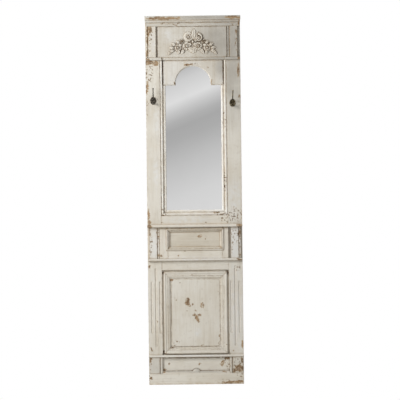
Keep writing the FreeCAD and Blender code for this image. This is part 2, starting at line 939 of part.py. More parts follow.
def crown():
    half = half_body + d.cornice_overhang
    depth = d.frame_thickness + d.cornice_projection
    cornice = nosed_board("cornice_board", half, NIL, depth, stile_top, d.cornice_thickness, d.cornice_round)
    node(cornice, "cornice_board")
    low = stile_top - d.bed_height
    front = front_face - d.bed_projection
    foot = front_face - d.bed_foot
    section = [
        (front_face, low),
        (front_face, stile_top),
        (front, stile_top),
        (front, low + d.bed_radius / 2, -d.bed_radius),
        (foot, low),
    ]
    half = half_body + d.bed_overhang
    node(run_across("bed_moulding", section, (-half, half)), "bed_moulding")
    strip = nosed_board("architrave", half_body - d.architrave_inset, front_face, d.architrave_projection,
                        frieze_head, d.architrave_height, d.architrave_round)
    node(strip, "architrave")


def necking():
    cap_inner = half_body - d.cap_width
    for side, hand in SIDES.items():
        ends = (cap_inner, half_body) if hand > 0 else (-half_body, -cap_inner)
        cap = nosed_run(f"necking_cap_{side}", ends, front_face, d.cap_projection, neck_level,
                        d.cap_height, d.cap_round)
        node(cap, f"necking_cap_{side}")
    strip = nosed_board("necking_strip", cap_inner, front_face, d.neck_strip_projection,
                        neck_level, d.cap_height, d.neck_strip_round)
    node(strip, "necking_strip")


def shelves():
    nose = (d.ledge_thickness, d.ledge_round)
    shelf_nose = (d.shelf_thickness, d.shelf_round)
    ledges = {
        "shelf": (d.shelf_overhang, d.shelf_projection, shelf_level, *shelf_nose),
        "apron_ledge": (-d.apron_ledge_inset, d.apron_ledge_projection, apron_ledge_level, *nose),
        "base_ledge": (d.base_ledge_overhang, d.base_ledge_projection, base_ledge_level, *nose),
    }
    for name, (overhang, *section) in ledges.items():
        node(nosed_board(name, half_body + overhang, front_face, *section), name)


def frieze():
    left = d.frieze_casing_inset_left + d.casing_width + d.frieze_gap_left - half_body
    right = half_body - d.frieze_casing_inset_right - d.casing_width - d.frieze_gap_right
    frieze_y = (front_face - d.frieze_thickness, front_face)
    node(board("frieze_board", (left, right), frieze_y, (frieze_foot, frieze_head)), "frieze_board")


# Apron: a little panelled frame between the shelf and the ledge

def apron():
    frame_y = (front_face - d.apron_thickness, front_face)
    left = d.apron_casing_inset_left + d.casing_width - half_body
    right = half_body - d.apron_casing_inset_right - d.casing_width - d.apron_gap_right
    opening = right - d.apron_stile_width
    low = apron_foot + d.apron_rail_bottom_height
    high = shelf_level - d.apron_rail_top_height
    pieces = {
        "apron_stile_left": ((left, -opening), (apron_foot, shelf_level)),
        "apron_stile_right": ((opening, right), (apron_foot, shelf_level)),
        "apron_rail_bottom": ((-opening, opening), (apron_foot, low)),
        "apron_rail_top": ((-opening, opening), (high, shelf_level)),
    }
    for name, (x, z) in pieces.items():
        node(board(name, x, frame_y, z), name)
    panel_y = (front_face - d.apron_panel_thickness, front_face)
    node(board("apron_panel", (-opening, opening), panel_y, (low, high)), "apron_panel")
    width = d.apron_moulding_width
    inside = width - d.apron_moulding_lap
    step = d.apron_thickness - d.apron_panel_thickness
    bead_start = width - d.apron_moulding_bead
    section = [
        (NIL, NIL),
        (NIL, d.apron_moulding_lip, d.apron_moulding_cove_radius),
        (d.apron_moulding_cove, d.apron_moulding_flat_height),
        (bead_start, d.apron_moulding_flat_height),
        (bead_start, d.apron_moulding_bead_height, -d.apron_moulding_bead * BEAD_SHARE),
        (width, d.apron_moulding_bead_height),
        (width, step),
        (inside, step),
        (inside, NIL),
    ]
    lap = d.apron_moulding_lap
    face = front_face - d.apron_panel_thickness
    moulding_frame("apron_moulding", section, width, opening + lap, low - lap, high + lap, face)


def plinth_rail():
    """The bottom board, raised between the blocks, with a small round hump in the middle."""
    shoulder = half_body - d.plinth_block_inset - d.plinth_block_width
    top = d.plinth_end_height + d.plinth_step
    half = d.hump_half_width
    hump_radius = (half * half + d.hump_rise * d.hump_rise) / (d.hump_rise * 2)
    corners = [
        (-half_body, NIL),
        (half_body, NIL),
        (half_body, d.plinth_end_height),
        (shoulder, d.plinth_end_height),
        (shoulder, top),
        (half, top, hump_radius),
        (-half, top),
        (-shoulder, top),
        (-shoulder, d.plinth_end_height),
        (-half_body, d.plinth_end_height),
    ]
    body = cut_forward("plinth_rail", corners, front_face, d.plinth_thickness)

    def on_top(point):
        in_front = abs(point.y + d.plinth_thickness.value) < SLIVER
        return in_front and point.z > top.value - SLIVER

    bevel(body, d.plinth_chamfer, on_top)
    node(body, "plinth_rail")


# Carved crest: leaves, flowers and scrolls on a thin ground, symmetrical about its middle

def carve(name, corners, share, slope, across, up, lean=0):
    """A form with bevelled edges, as high as a share of the relief, leaned from upright to the right."""
    body = new_body(name)
    depth = d.crest_relief * share
    pad(body, outline(body, f"{name}_outline", "XZ_Plane", corners), depth)

    def on_front(point):
        return abs(point.y + depth.value) < SLIVER

    bevel(body, slope, on_front)
    return place(body, across, NIL, up, FreeCAD.Rotation(BACK, lean))


def polar(radius, angle):
    """A corner at a radius and an angle from the right."""
    return radius * math.cos(angle), radius * math.sin(angle)


def leaf(name, long, wide, across, up, lean):
    """A pointed leaf."""
    low, high = (long * share for share in LEAF_SHOULDERS)
    half = wide / 2
    corners = [(NIL, NIL), (half, low), (half, high), (NIL, long), (-half, high), (-half, low)]
    return carve(name, corners, LEAF_SHARE, wide * LEAF_BEVEL, across, up, lean)


def scroll(name, hand):
    """A C-scroll that opens towards the middle."""
    outside = d.scroll_radius
    inside = d.scroll_radius - d.scroll_width
    angles = [SCROLL_SWEEP * (index / SCROLL_STEP_COUNT - 0.5) for index in range(SCROLL_STEP_COUNT + 1)]
    ring = [polar(outside, angle) for angle in angles] + [polar(inside, angle) for angle in reversed(angles)]
    corners = [(x * hand, z) for x, z in ring]
    return carve(name, corners, LEAF_SHARE, d.scroll_width * LEAF_BEVEL, d.scroll_across * hand, d.scroll_up)


def petals(name, radius, share, shift, across, up):
    """A ring of petals; the shift turns it by a part of one petal."""
    turn = math.tau / PETAL_COUNT
    corners = []
    for index in range(PETAL_COUNT):
        start, end = PETAL_ENDS
        corners.append(polar(radius * PETAL_GAP, turn * (index + shift)))
        corners.append(polar(radius, turn * (index + shift + start)))
        corners.append(polar(radius, turn * (index + shift + end)))
    return carve(name, corners, share, radius * PETAL_BEVEL, across, up)


def button(name, radius, share, across, up):
    """A boss of eight flats."""
    turn = math.tau / FLAT_COUNT
    corners = [polar(radius, turn * index) for index in range(FLAT_COUNT)]
    return carve(name, corners, share, radius * BUTTON_BEVEL, across, up)


def flower(name, radius, across, up):
    """Two rings of petals round a button."""
    return [
        petals(f"{name}_petals", radius, PETAL_SHARE, 0, across, up),
        petals(f"{name}_heart", radius * HEART_RADIUS, HEART_SHARE, HEART_TURN, across, up),
        button(f"{name}_button", radius * BUTTON_RADIUS, BUTTON_SHARE, across, up),
    ]


def carved_crest():
    motifs = [leaf("crest_plume", d.plume_length, d.plume_width, NIL, d.plume_up, 0)]
    motifs.append(leaf("crest_drop", d.drop_length, d.drop_width, NIL, d.drop_up, 180))
    corners = []
    for hand in (1, -1):
        side = "right" if hand > 0 else "left"
        motifs += flower(f"crest_rosette_{side}", d.rosette_radius, d.rosette_across * hand, d.rosette_up)
        motifs += flower(f"crest_flower_{side}", d.flower_radius, d.flower_across * hand, d.flower_up)
        motifs.append(scroll(f"crest_scroll_{side}", hand))
        motifs.append(button(f"crest_bud_{side}", d.bud_radius, LEAF_SHARE, d.bud_across * hand, d.bud_up))
        leaves = {
            "side_plume": (d.side_plume_length, d.side_plume_width, NIL, d.plume_up, SIDE_PLUME_LEAN),
            "side_drop": (d.drop_length, d.drop_width, NIL, d.drop_up, 180 - DROP_LEAN),
            "upper_leaf": (d.leaf_length, d.leaf_width, d.bud_across * hand, d.rosette_up, UPPER_LEAF_LEAN),
            "outer_leaf": (d.leaf_length, d.leaf_width, d.tail_across * hand, d.flower_up, OUTER_LEAF_LEAN),
            "tail": (d.tail_length, d.tail_width, d.tail_across * hand, d.tail_up, TAIL_LEAN),
        }
        for kind, (long, wide, across, up, lean) in leaves.items():
            motifs.append(leaf(f"crest_{kind}_{side}", long, wide, across, up, lean * hand))
        ground = [
            (NIL, d.drop_up - d.drop_length / 2),
            (d.tail_across * hand, d.tail_up),
            (d.bud_across * hand, d.bud_up),
            (d.scroll_across * hand, d.scroll_up + d.scroll_radius / 2),
        ]
        corners = corners + ground if hand > 0 else corners + ground[:0:-1]
    body = new_body("crest_ground")
    pad(body, outline(body, "crest_ground_outline", "XZ_Plane", corners), d.crest_ground)
    crest = joined("carved_crest", motifs + [body])
    face = front_face - d.frieze_thickness
    node(place(crest, d.crest_shift, face, frieze_foot + d.crest_lift), "carved_crest")


# Coat hooks

def knob(name, radius, x, y, z, direction):
    """A knob of eight flats with sloping ends, its middle at a point."""
    half = radius * BAR_SHARE
    core = flat_bar(f"{name}_core", FLAT_COUNT, radius, half * 2, NIL, NIL, -half, UP)
    edges = document.addObject("Part::Chamfer", name)
    document.recompute()
    edges.Base = core
    slope = half.value * CORNER_SHARE
    rims = []
    for index, edge in enumerate(core.Shape.Edges, start=1):
        if abs(edge.Vertexes[0].Z - edge.Vertexes[1].Z) < SLIVER:
            rims.append((index, slope, slope))
    edges.Edges = rims
    return place(edges, x, y, z, FreeCAD.Rotation(UP, direction))


def hook(side):
    """A cast hat-and-coat hook: oval plate, tall upper prong and a short knobbed one."""
    name = f"hook_{side}"
    plate = new_body(f"{name}_plate")
    oval = []
    for index in range(PLATE_FLAT_COUNT):
        angle = math.tau / PLATE_FLAT_COUNT * index
        oval.append((d.hook_plate_width / 2 * math.cos(angle), d.hook_plate_height / 2 * math.sin(angle)))
    pad(plate, outline(plate, f"{name}_oval", "XZ_Plane", oval), d.hook_plate_thickness)

    def on_front(point):
        return abs(point.y + d.hook_plate_thickness.value) < SLIVER

    bevel(plate, d.hook_plate_bevel, on_front)
    half = d.prong_radius * BAR_SHARE
    rise = d.prong_rise
    bend_start = d.prong_bend - d.prong_reach
    bend_end = rise + d.prong_bend
    side_view = [
        (NIL, rise - half),
        (NIL, rise + half),
        (bend_start, rise + half, half - d.prong_bend),
        (half - d.prong_reach, bend_end),
        (half - d.prong_reach, d.prong_top),
        (-half - d.prong_reach, d.prong_top),
        (-half - d.prong_reach, bend_end, d.prong_bend + half),
        (bend_start, rise - half),
    ]
    prong = bent_bar(f"{name}_prong", "YZ_Plane", half, [side_view])
    tip = knob(f"{name}_tip", d.prong_tip_radius, NIL, -d.prong_reach, d.prong_top, UP)
    arm = flat_bar(f"{name}_arm", FLAT_COUNT, d.knob_arm_radius, d.knob_reach, NIL, NIL, -d.knob_drop, FRONT)
    low_knob = knob(f"{name}_knob", d.knob_radius, NIL, -d.knob_reach, -d.knob_drop, FRONT)
    whole = joined(f"{name}_whole", [plate, prong, tip, arm, low_knob])
    across, level, lean = HOOKS[side]
    place(whole, across, front_face, level, lean)
    node(carved(name, whole, [hook_screws(f"{name}_holes", side, screw_hole)]), name)


# Wall hangers on the back of the stiles

def hanger(side):
    """A steel strap rolled round the bar of a D-ring, which hangs down over it."""
    hand = SIDES[side]
    name = f"hanger_strap_{side}"
    across = hanger_across * hand
    level = hanger_level
    strap_x = (across - d.strap_width / 2, across + d.strap_width / 2)
    tongue = board(f"{name}_tongue", strap_x, (NIL, d.strap_thickness), (strap_foot, level))
    roll = rod(f"{name}_roll", knuckle_radius, d.strap_width, strap_x[0], ring_axis, level, RIGHT)
    strap = joined(f"{name}_whole", [tongue, roll])
    bore_radius = d.ring_wire_radius + d.ring_running_clearance
    tools = [rod(f"{name}_bore", bore_radius, d.strap_width, strap_x[0], ring_axis, level, RIGHT)]
    for index, height in enumerate(strap_levels):
        tools.append(screw_hole(f"{name}_hole_{index}", across, d.strap_thickness, height, FRONT))
    node(carved(name, strap, tools), name)
    half = d.ring_width / 2
    corner = d.ring_corner
    wire = d.ring_wire_radius * BAR_SHARE
    loops = []
    for grow in (wire, -wire):
        edge = half + grow
        foot = -d.ring_height - grow
        head_cut = corner + grow * CORNER_SHARE
        foot_cut = d.ring_foot_corner + grow * CORNER_SHARE
        right_side = [
            (edge - head_cut, grow),
            (edge, grow - head_cut),
            (edge, foot + foot_cut),
            (edge - foot_cut, foot),
        ]
        loops.append(right_side + [(-x, z) for x, z in reversed(right_side)])
    loop = bent_bar(f"hanger_loop_{side}", "XZ_Plane", wire, loops)
    bar = rod(f"hanger_bar_{side}", d.ring_wire_radius, (half - corner) * 2, corner - half, NIL, NIL, RIGHT)
    ring = joined(f"hanger_ring_{side}", [loop, bar])
    node(place(ring, across, ring_axis, level), f"hanger_ring_{side}")


def small_fasteners():
    pairs = [hook_screws(f"hook_screws_{side}", side, screw) for side in SIDES]
    node(group("hook_screws", pairs), "hook_screws")
    strap_screws = []
    bumpers = []
    for side, hand in SIDES.items():
        for index, level in enumerate(strap_levels):
            name = f"strap_screw_{side}_{index}"
            strap_screws.append(screw(name, hanger_across * hand, d.strap_thickness, level, FRONT))
        for index, level in enumerate((d.bumper_from_floor, stile_top - d.bumper_from_top)):
            bumpers.append(flat_bar(f"bumper_{side}_{index}", BUMPER_FLAT_COUNT, d.bumper_radius,
                                    d.bumper_thickness, stile_middle * hand, NIL, level, BACK))
    node(group("hanger_screws", strap_screws), "hanger_screws")
    node(group("wall_bumpers", bumpers), "wall_bumpers")


def check_and_write():
    """Stop on any failed object or shape, then write one file for each piece."""
    document.recompute()
    for item in document.Objects:
        if "Invalid" in item.State or "Error" in item.State:
            raise RuntimeError(f"{item.Label} is not computed: {item.State}")
    for item in nodes:
        if item.Shape.isNull() or not item.Shape.isValid() or not item.Shape.Solids:
            raise RuntimeError(f"{item.Label} has no sound solid")
    os.makedirs("parts", exist_ok=True)
    for item in nodes:
        item.Shape.exportStep(f"parts/{item.Label}.step")
    print(f"{len(nodes)} pieces written")


for side in SIDES:
    stile(side)
rails_and_panel()
door_mouldings()
sight_mouldings()
arch_board()
glass_and_backing()
casings()
crown()
necking()
shelves()
frieze()
apron()
plinth_rail()
carved_crest()
for side in SIDES:
    hook(side)
    hanger(side)
small_fasteners()
check_and_write()
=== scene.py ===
# %% [markdown]
# # A tall painted panel mirror
# The real object is a narrow panelled door that became a wall mirror: stiles and rails, an arched mirror, a
# small shelf, a moulded panel, a carved crest and two iron coat hooks. The joinery comes in as finished
# solids, so this lesson adds what a carver, a caster and a painter add: the carving, smooth metal and a worn
# cream finish. The first cell loads the solids, and a helper there gives the box of any one of them.

# %% Load the joinery
import math

import bmesh
import bpy
from mathutils import Matrix, Vector


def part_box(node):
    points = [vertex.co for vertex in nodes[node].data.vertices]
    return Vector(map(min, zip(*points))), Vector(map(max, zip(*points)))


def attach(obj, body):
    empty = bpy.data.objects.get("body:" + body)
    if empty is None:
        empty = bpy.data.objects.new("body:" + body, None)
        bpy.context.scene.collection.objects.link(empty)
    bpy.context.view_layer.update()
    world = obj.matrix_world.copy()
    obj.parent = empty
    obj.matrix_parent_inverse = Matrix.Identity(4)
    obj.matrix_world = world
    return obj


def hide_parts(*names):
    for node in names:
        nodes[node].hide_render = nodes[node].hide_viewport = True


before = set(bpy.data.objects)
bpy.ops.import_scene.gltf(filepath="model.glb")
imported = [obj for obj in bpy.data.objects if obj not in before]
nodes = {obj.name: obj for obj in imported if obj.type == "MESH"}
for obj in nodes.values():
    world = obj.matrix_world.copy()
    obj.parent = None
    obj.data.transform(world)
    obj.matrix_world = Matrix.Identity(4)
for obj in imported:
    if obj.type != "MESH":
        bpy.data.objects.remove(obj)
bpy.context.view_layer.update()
MM = 0.001

# %% [markdown]
# ## The camera
# The photograph was taken with a long lens from straight ahead, so its upright lines stay parallel.
# An orthographic camera gives exactly that. The picture is 400 pixels for 2170 mm, the middle of the
# object is a little left of the middle of the picture, and the camera was held a little crooked.

# %% Camera
PICTURE_WIDTH = 2170 * MM
PICTURE_LEVEL = 1000 * MM
MIDDLE_RIGHT = 29.7 * MM
CAMERA_ROLL = math.radians(0.68)
CAMERA_DISTANCE = 5.0

lens = bpy.data.cameras.new("long_lens")
lens.type = "ORTHO"
lens.ortho_scale = PICTURE_WIDTH
camera = bpy.data.objects.new("camera", lens)
bpy.context.scene.collection.objects.link(camera)
camera.location = (MIDDLE_RIGHT, -CAMERA_DISTANCE, PICTURE_LEVEL - MIDDLE_RIGHT * math.sin(CAMERA_ROLL))
camera.rotation_euler = (math.radians(90), CAMERA_ROLL, 0)
bpy.context.scene.camera = camera
print("camera at", [round(value, 3) for value in camera.location])

# %% [markdown]
# ## Turning a bmesh into a piece
# Every new piece below is a bmesh that ends the same way: doubled points are merged, open ends are
# closed, faces are turned outwards, and the mesh becomes an object at the origin that rides on one
# moving body and stands for one solid of the joinery. Small helpers keep those steps, and the moves
# that the pieces share, in one place.

# %% Helpers for pieces
SAME_POINT = 0.002 * MM
replaced = set()


def new_object(name, bm):
    """Make an object at the origin out of a bmesh."""
    mesh = bpy.data.meshes.new(name)
    bm.to_mesh(mesh)
    bm.free()
    made = bpy.data.objects.new(name, mesh)
    bpy.context.scene.collection.objects.link(made)
    return made


def finish_piece(name, bm, body, slot, *stands_for):
    """Make an object of a bmesh that rides on a body and stands for solids."""
    bmesh.ops.remove_doubles(bm, verts=bm.verts, dist=SAME_POINT)
    bmesh.ops.holes_fill(bm, edges=[edge for edge in bm.edges if edge.is_boundary], sides=0)
    bmesh.ops.recalc_face_normals(bm, faces=bm.faces)
    piece = new_object(name, bm)
    piece.data.shade_smooth()
    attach(piece, body)
    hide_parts(*stands_for)
    replaced.update(stands_for)
    print(name, len(piece.data.polygons), "faces")
    return piece


def sharpen(piece, degrees):
    """Keep edges crisp where two faces meet at more than an angle."""
    piece.data.set_sharp_from_angle(angle=math.radians(degrees))


def add_copy(target, bm):
    """Put a small finished bmesh into a larger one."""
    mesh = bpy.data.meshes.new("copy")
    bm.to_mesh(mesh)
    bm.free()
    target.from_mesh(mesh)
    bpy.data.meshes.remove(mesh)


def middle_of(node):
    low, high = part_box(node)
    return (low + high) / 2


def rotation(degrees, axis):
    return Matrix.Rotation(math.radians(degrees), 3, axis)


def points_of(geom):
    return [item for item in geom if isinstance(item, bmesh.types.BMVert)]


def extrude(bm, faces):
    """Extrude faces in place and return the new points and faces, ready to be moved."""
    grown = bmesh.ops.extrude_face_region(bm, geom=faces)["geom"]
    return points_of(grown), [item for item in grown if isinstance(item, bmesh.types.BMFace)]


def round_over(bm, edges, radius, segments):
    bmesh.ops.bevel(bm, geom=edges, offset=radius, segments=segments, profile=0.5, affect="EDGES",
                    material=-1, clamp_overlap=True)


print("helpers for pieces ready")

# %% [markdown]
# ## The carved crest: a petal
# Carved petals and leaves are all the same idea: a pointed, domed form with a groove down its middle
# and a flat back that is glued to the board. It could be cut from a grid and thickened, but a sphere
# already has the round edge, so a sphere is squeezed: its back is pressed flat, its tip is narrowed,
# its edge may be lobed and its middle is dented.

# %% Petals and leaves
crest_low, crest_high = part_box("carved_crest")
CREST_FACE = crest_high.y
CREST_LEVEL = 1785 * MM
CREST_MIDDLE = Vector(((crest_low.x + crest_high.x) / 2, CREST_FACE, CREST_LEVEL))
RELIEF = (crest_high.y - crest_low.y) / MM
LOBE_DEPTH = 0.16
GROOVE_WIDTH = 0.28
ROOT_RISE = 0.6
CROWN_SHIFT = 0.15


def on_crest(across, up):
    """A place on the ground of the crest, from millimetres across and up."""
    return CREST_MIDDLE + Vector((across, 0, up)) * MM


def petal(bm, length, width, height, root, lean, point=0.6, groove=0.4, lobes=0, curl=0.0):
    """A domed leaf from its root (across, up) on the crest; it leans from upright to the right."""
    made = bmesh.ops.create_uvsphere(bm, u_segments=20, v_segments=14, radius=1)["verts"]
    leaning = rotation(lean, "Y")
    place = on_crest(*root)
    for vertex in made:
        across, deep, along = vertex.co
        share = (along + 1) / 2
        narrowing = 1 - point * share ** 2
        edge = 1 + LOBE_DEPTH * math.cos(share * lobes * math.tau) if lobes else 1
        dent = 1 - groove * math.exp(-(across / GROOVE_WIDTH) ** 2)
        dome = ROOT_RISE + (1 - ROOT_RISE) * math.sin(math.pi * min(share + CROWN_SHIFT, 1))
        front = min(deep, 0) * dent * dome
        bow = curl * share * (1 - share) * 4
        spot = Vector((across * narrowing * edge * width / 2 + bow, front * height, share * length))
        vertex.co = place + leaning @ (spot * MM)


print("crest relief", round(RELIEF, 1), "mm")

# %% [markdown]
# ## The carved crest: flowers and scrolls
# A rosette is two rings of short petals round a button, with deep gaps that hold dark wax, and a rose
# has three rings that rise towards the middle. A scroll is a round bar that turns and thins: an
# extrusion that is turned and shrunk at each step, which the extrude, rotate and scale operators do
# without any list of points.

# %% Flowers and scrolls
# Rings of petals as shares of the flower: where a petal starts, its length, its width and its height
ROSETTE_OUTER = (0.2, 0.8, 0.92, 0.75)
ROSETTE_INNER = (0, 0.55, 0.42, 0.95)
ROSE_RINGS = ((1.0, 7, 0.62), (0.7, 6, 0.82), (0.42, 4, 0.98))
ROSETTE_BUTTON = 0.28
ROSE_BUTTON = 0.24
SCROLL_THINNING = (0.968, 0.985, 0.968)
SCROLL_RISE = 1.6


def button(bm, across, up, radius, height):
    """A half ball with a flat back."""
    made = bmesh.ops.create_uvsphere(bm, u_segments=14, v_segments=8, radius=1)["verts"]
    bmesh.ops.scale(bm, verts=made, vec=Vector((radius, height, radius)) * MM)
    for vertex in made:
        vertex.co.y = min(vertex.co.y, 0)
    bmesh.ops.translate(bm, verts=made, vec=on_crest(across, up))


def ring_petal(bm, across, up, radius, height, shares, lean, point, groove):
    """One petal of a flower, set out from its middle by its lean from upright."""
    start, length, width, rise = shares
    angle = math.radians(lean)
    root = (across + math.sin(angle) * radius * start, up + math.cos(angle) * radius * start)
    petal(bm, radius * length, radius * width, height * rise, root, lean, point, groove)


def rosette(bm, across, up, radius, height, petals=5, turned=0):
    step = 360 / petals
    for index in range(petals):
        lean = turned + step * index
        ring_petal(bm, across, up, radius, height, ROSETTE_OUTER, lean, point=-0.2, groove=0.45)
        ring_petal(bm, across, up, radius, height, ROSETTE_INNER, lean + step / 2, point=-0.1, groove=0.4)
    button(bm, across, up, radius * ROSETTE_BUTTON, height)


def rose(bm, across, up, radius, height):
    for size, petals, rise in ROSE_RINGS:
        for index in range(petals):
            lean = 360 / petals * (index + size)
            shares = (0.3, 0.7, 0.92, rise)
            ring_petal(bm, across, up, radius * size, height, shares, lean, point=-0.3, groove=0.3)
    button(bm, across, up, radius * ROSE_BUTTON, height)


def scroll(bm, across, up, radius, bar, start, sweep, steps=30):
    """A bar that starts at an angle from the right and winds inwards."""
    centre = on_crest(across, up)
    whole = list(bmesh.ops.create_circle(bm, cap_ends=True, segments=12, radius=bar * MM)["verts"])
    end = list(whole[0].link_faces)
    bmesh.ops.translate(bm, verts=whole, vec=centre + Vector((radius * MM, 0, 0)))
    bmesh.ops.rotate(bm, verts=whole, cent=centre, matrix=rotation(-start, "Y"))
    for _ in range(steps):
        fresh, grown = extrude(bm, end)
        bmesh.ops.delete(bm, geom=end, context="FACES_ONLY")
        end = grown
        bmesh.ops.rotate(bm, verts=fresh, cent=centre, matrix=rotation(-sweep / steps, "Y"))
        bmesh.ops.scale(bm, verts=fresh, vec=SCROLL_THINNING, space=Matrix.Translation(-centre))
        whole += fresh
    for vertex in whole:
        vertex.co.y = CREST_FACE + min((vertex.co.y - CREST_FACE) * SCROLL_RISE, 0)


print("flowers and scrolls ready")

# %% [markdown]
# ## The carved crest: the whole spray
# The crest is laid out as in the photograph: a plume of leaves at the top between a full rose and a
# scroll, two rosettes, a shell drop, then a flower, a bud, leaves and a tail towards each end. What is
# alike on both halves is drawn by one loop with a sign, and every tip stays within the solid that the
# carving stands for.

# %% Carve the crest
# Leaves of one half: length, width, share of the relief, across, up, lean, point, lobes
LEAVES = (
    (30, 17, 0.75, 7, 76, 62, 0.3, 0),
    (24, 20, 0.75, 3, 66, 118, 0.1, 0),
    (34, 20, 0.80, 46, 36, 152, 0.15, 3),
    (30, 19, 0.75, 55, 60, 112, 0.1, 2),
    (30, 19, 0.82, 67, 62, 50, 0.4, 2),
    (32, 20, 0.88, 88, 51, 58, 0.35, 2),
    (32, 20, 0.88, 97, 41, 88, 0.35, 2),
    (34, 19, 0.85, 98, 32, 118, 0.25, 3),
    (27, 18, 0.75, 70, 32, 160, 0.3, 2),
)
DROP_LEANS = (28, 60)

carving = bmesh.new()
petal(carving, 63, 32, RELIEF * 0.98, (2, 84), 6, point=0.45, groove=0.5, curl=2)
petal(carving, 36, 22, RELIEF * 0.85, (2, 45), 180, point=-0.1, groove=0.4)
button(carving, 2, 74, 8, RELIEF * 0.9)
rose(carving, -22, 100, 29, RELIEF)
scroll(carving, 33, 95, 21, 7.2, 100, -430)
petal(carving, 30, 26, RELIEF * 0.85, (29, 81), 10, point=0, groove=0.5)
for hand in (-1, 1):
    petal(carving, 55, 25, RELIEF * 0.9, (6 * hand, 82), 23 * hand, point=0.35, groove=0.5, curl=3 * hand)
    rosette(carving, 31 * hand, 51, 25, RELIEF, turned=12 * hand)
    rosette(carving, 79 * hand, 42, 22, RELIEF * 0.95, turned=30 * hand)
    rosette(carving, 59 * hand, 76, 14, RELIEF * 0.9, petals=4, turned=20)
    for lean in DROP_LEANS:
        petal(carving, 34, 19, RELIEF * 0.78, (2, 45), (180 - lean) * hand, point=-0.1)
    for length, width, rise, across, up, lean, point, lobes in LEAVES:
        petal(carving, length, width, RELIEF * rise, (across * hand, up), lean * hand, point, lobes=lobes)
    petal(carving, 28, 15, RELIEF * 0.8, (112 * hand, 22), 136 * hand, point=0.2, curl=-4 * hand)
crest = finish_piece("crest_carving", carving, "frame", "painted_wood", "carved_crest")

# %% [markdown]
# ## The coat hooks
# Each hook is one iron casting: an oval plate with a rounded face, a tall prong that curves out and
# up, and a short arm with a ball. The plate is a disc that is extruded and bevelled. The prong is a
# ring that is extruded, spun through a quarter turn and extruded again, which is how a bar is bent.

# %% Cast hooks
PLATE_HALF_WIDTH = 16 * MM
PLATE_HALF_HEIGHT = 21.5 * MM
PLATE_THICKNESS = 5 * MM
PLATE_ROUND = 3.4 * MM
PRONG_RADIUS = 3 * MM
PRONG_RISE = 8 * MM
PRONG_REACH = 40 * MM
PRONG_BEND = 30 * MM
PRONG_TOP = 66 * MM
ROOT_SWELL = 1.35
TIP_RADIUS = 4 * MM
ARM_RADIUS = 5 * MM
ARM_NECK = 7 * MM
ARM_THINNING = 0.75
BALL_RADIUS = 9 * MM
BALL_REACH = 26 * MM
BALL_DROP = 12 * MM
ROUND = 16
SIDEWAYS = (1, 0, 0)
FORWARD = (0, -1, 0)
STILE_FACE = -28 * MM


def ring_edges(points):
    chosen = set(points)
    touching = {edge for point in points for edge in point.link_edges}
    return [edge for edge in touching if chosen.issuperset(edge.verts)]


def draw_out(bm, points, move, thin=1.0):
    """Extrude an open ring of points and return the new ring."""
    fresh = points_of(bmesh.ops.extrude_edge_only(bm, edges=ring_edges(points))["geom"])
    bmesh.ops.translate(bm, verts=fresh, vec=move)
    if thin != 1.0:
        middle = sum((point.co for point in fresh), Vector()) / len(fresh)
        bmesh.ops.scale(bm, verts=fresh, vec=(thin,) * 3, space=Matrix.Translation(-middle))
    return fresh


def bend(bm, points, centre, axis, degrees, steps=10):
    """Spin an open ring of points round an axis and return its last place."""
    geom = list(points) + ring_edges(points)
    angle = math.radians(degrees)
    spun = bmesh.ops.spin(bm, geom=geom, cent=centre, axis=axis, angle=angle, steps=steps)
    return points_of(spun["geom_last"])


def ball(bm, centre, radius, squash):
    made = bmesh.ops.create_uvsphere(bm, u_segments=20, v_segments=12, radius=radius)["verts"]
    bmesh.ops.scale(bm, verts=made, vec=squash)
    bmesh.ops.translate(bm, verts=made, vec=centre)


def wire_ring(bm, centre, radius, normal):
    """An open ring of points round a wire that runs along the normal."""
    made = bmesh.ops.create_circle(bm, cap_ends=False, segments=ROUND, radius=radius)["verts"]
    facing = Vector((0, 0, 1)).rotation_difference(Vector(normal)).to_matrix()
    bmesh.ops.rotate(bm, verts=made, cent=(0, 0, 0), matrix=facing)
    bmesh.ops.translate(bm, verts=made, vec=centre)
    return made


def oval_plate(bm):
    disc = bmesh.ops.create_circle(bm, cap_ends=True, segments=40, radius=1)["verts"]
    bmesh.ops.rotate(bm, verts=disc, cent=(0, 0, 0), matrix=rotation(90, "X"))
    bmesh.ops.scale(bm, verts=disc, vec=(PLATE_HALF_WIDTH, 1, PLATE_HALF_HEIGHT))
    front, _ = extrude(bm, list(bm.faces))
    bmesh.ops.translate(bm, verts=front, vec=(0, -PLATE_THICKNESS, 0))
    bmesh.ops.recalc_face_normals(bm, faces=bm.faces)
    round_over(bm, ring_edges(front), PLATE_ROUND, segments=4)


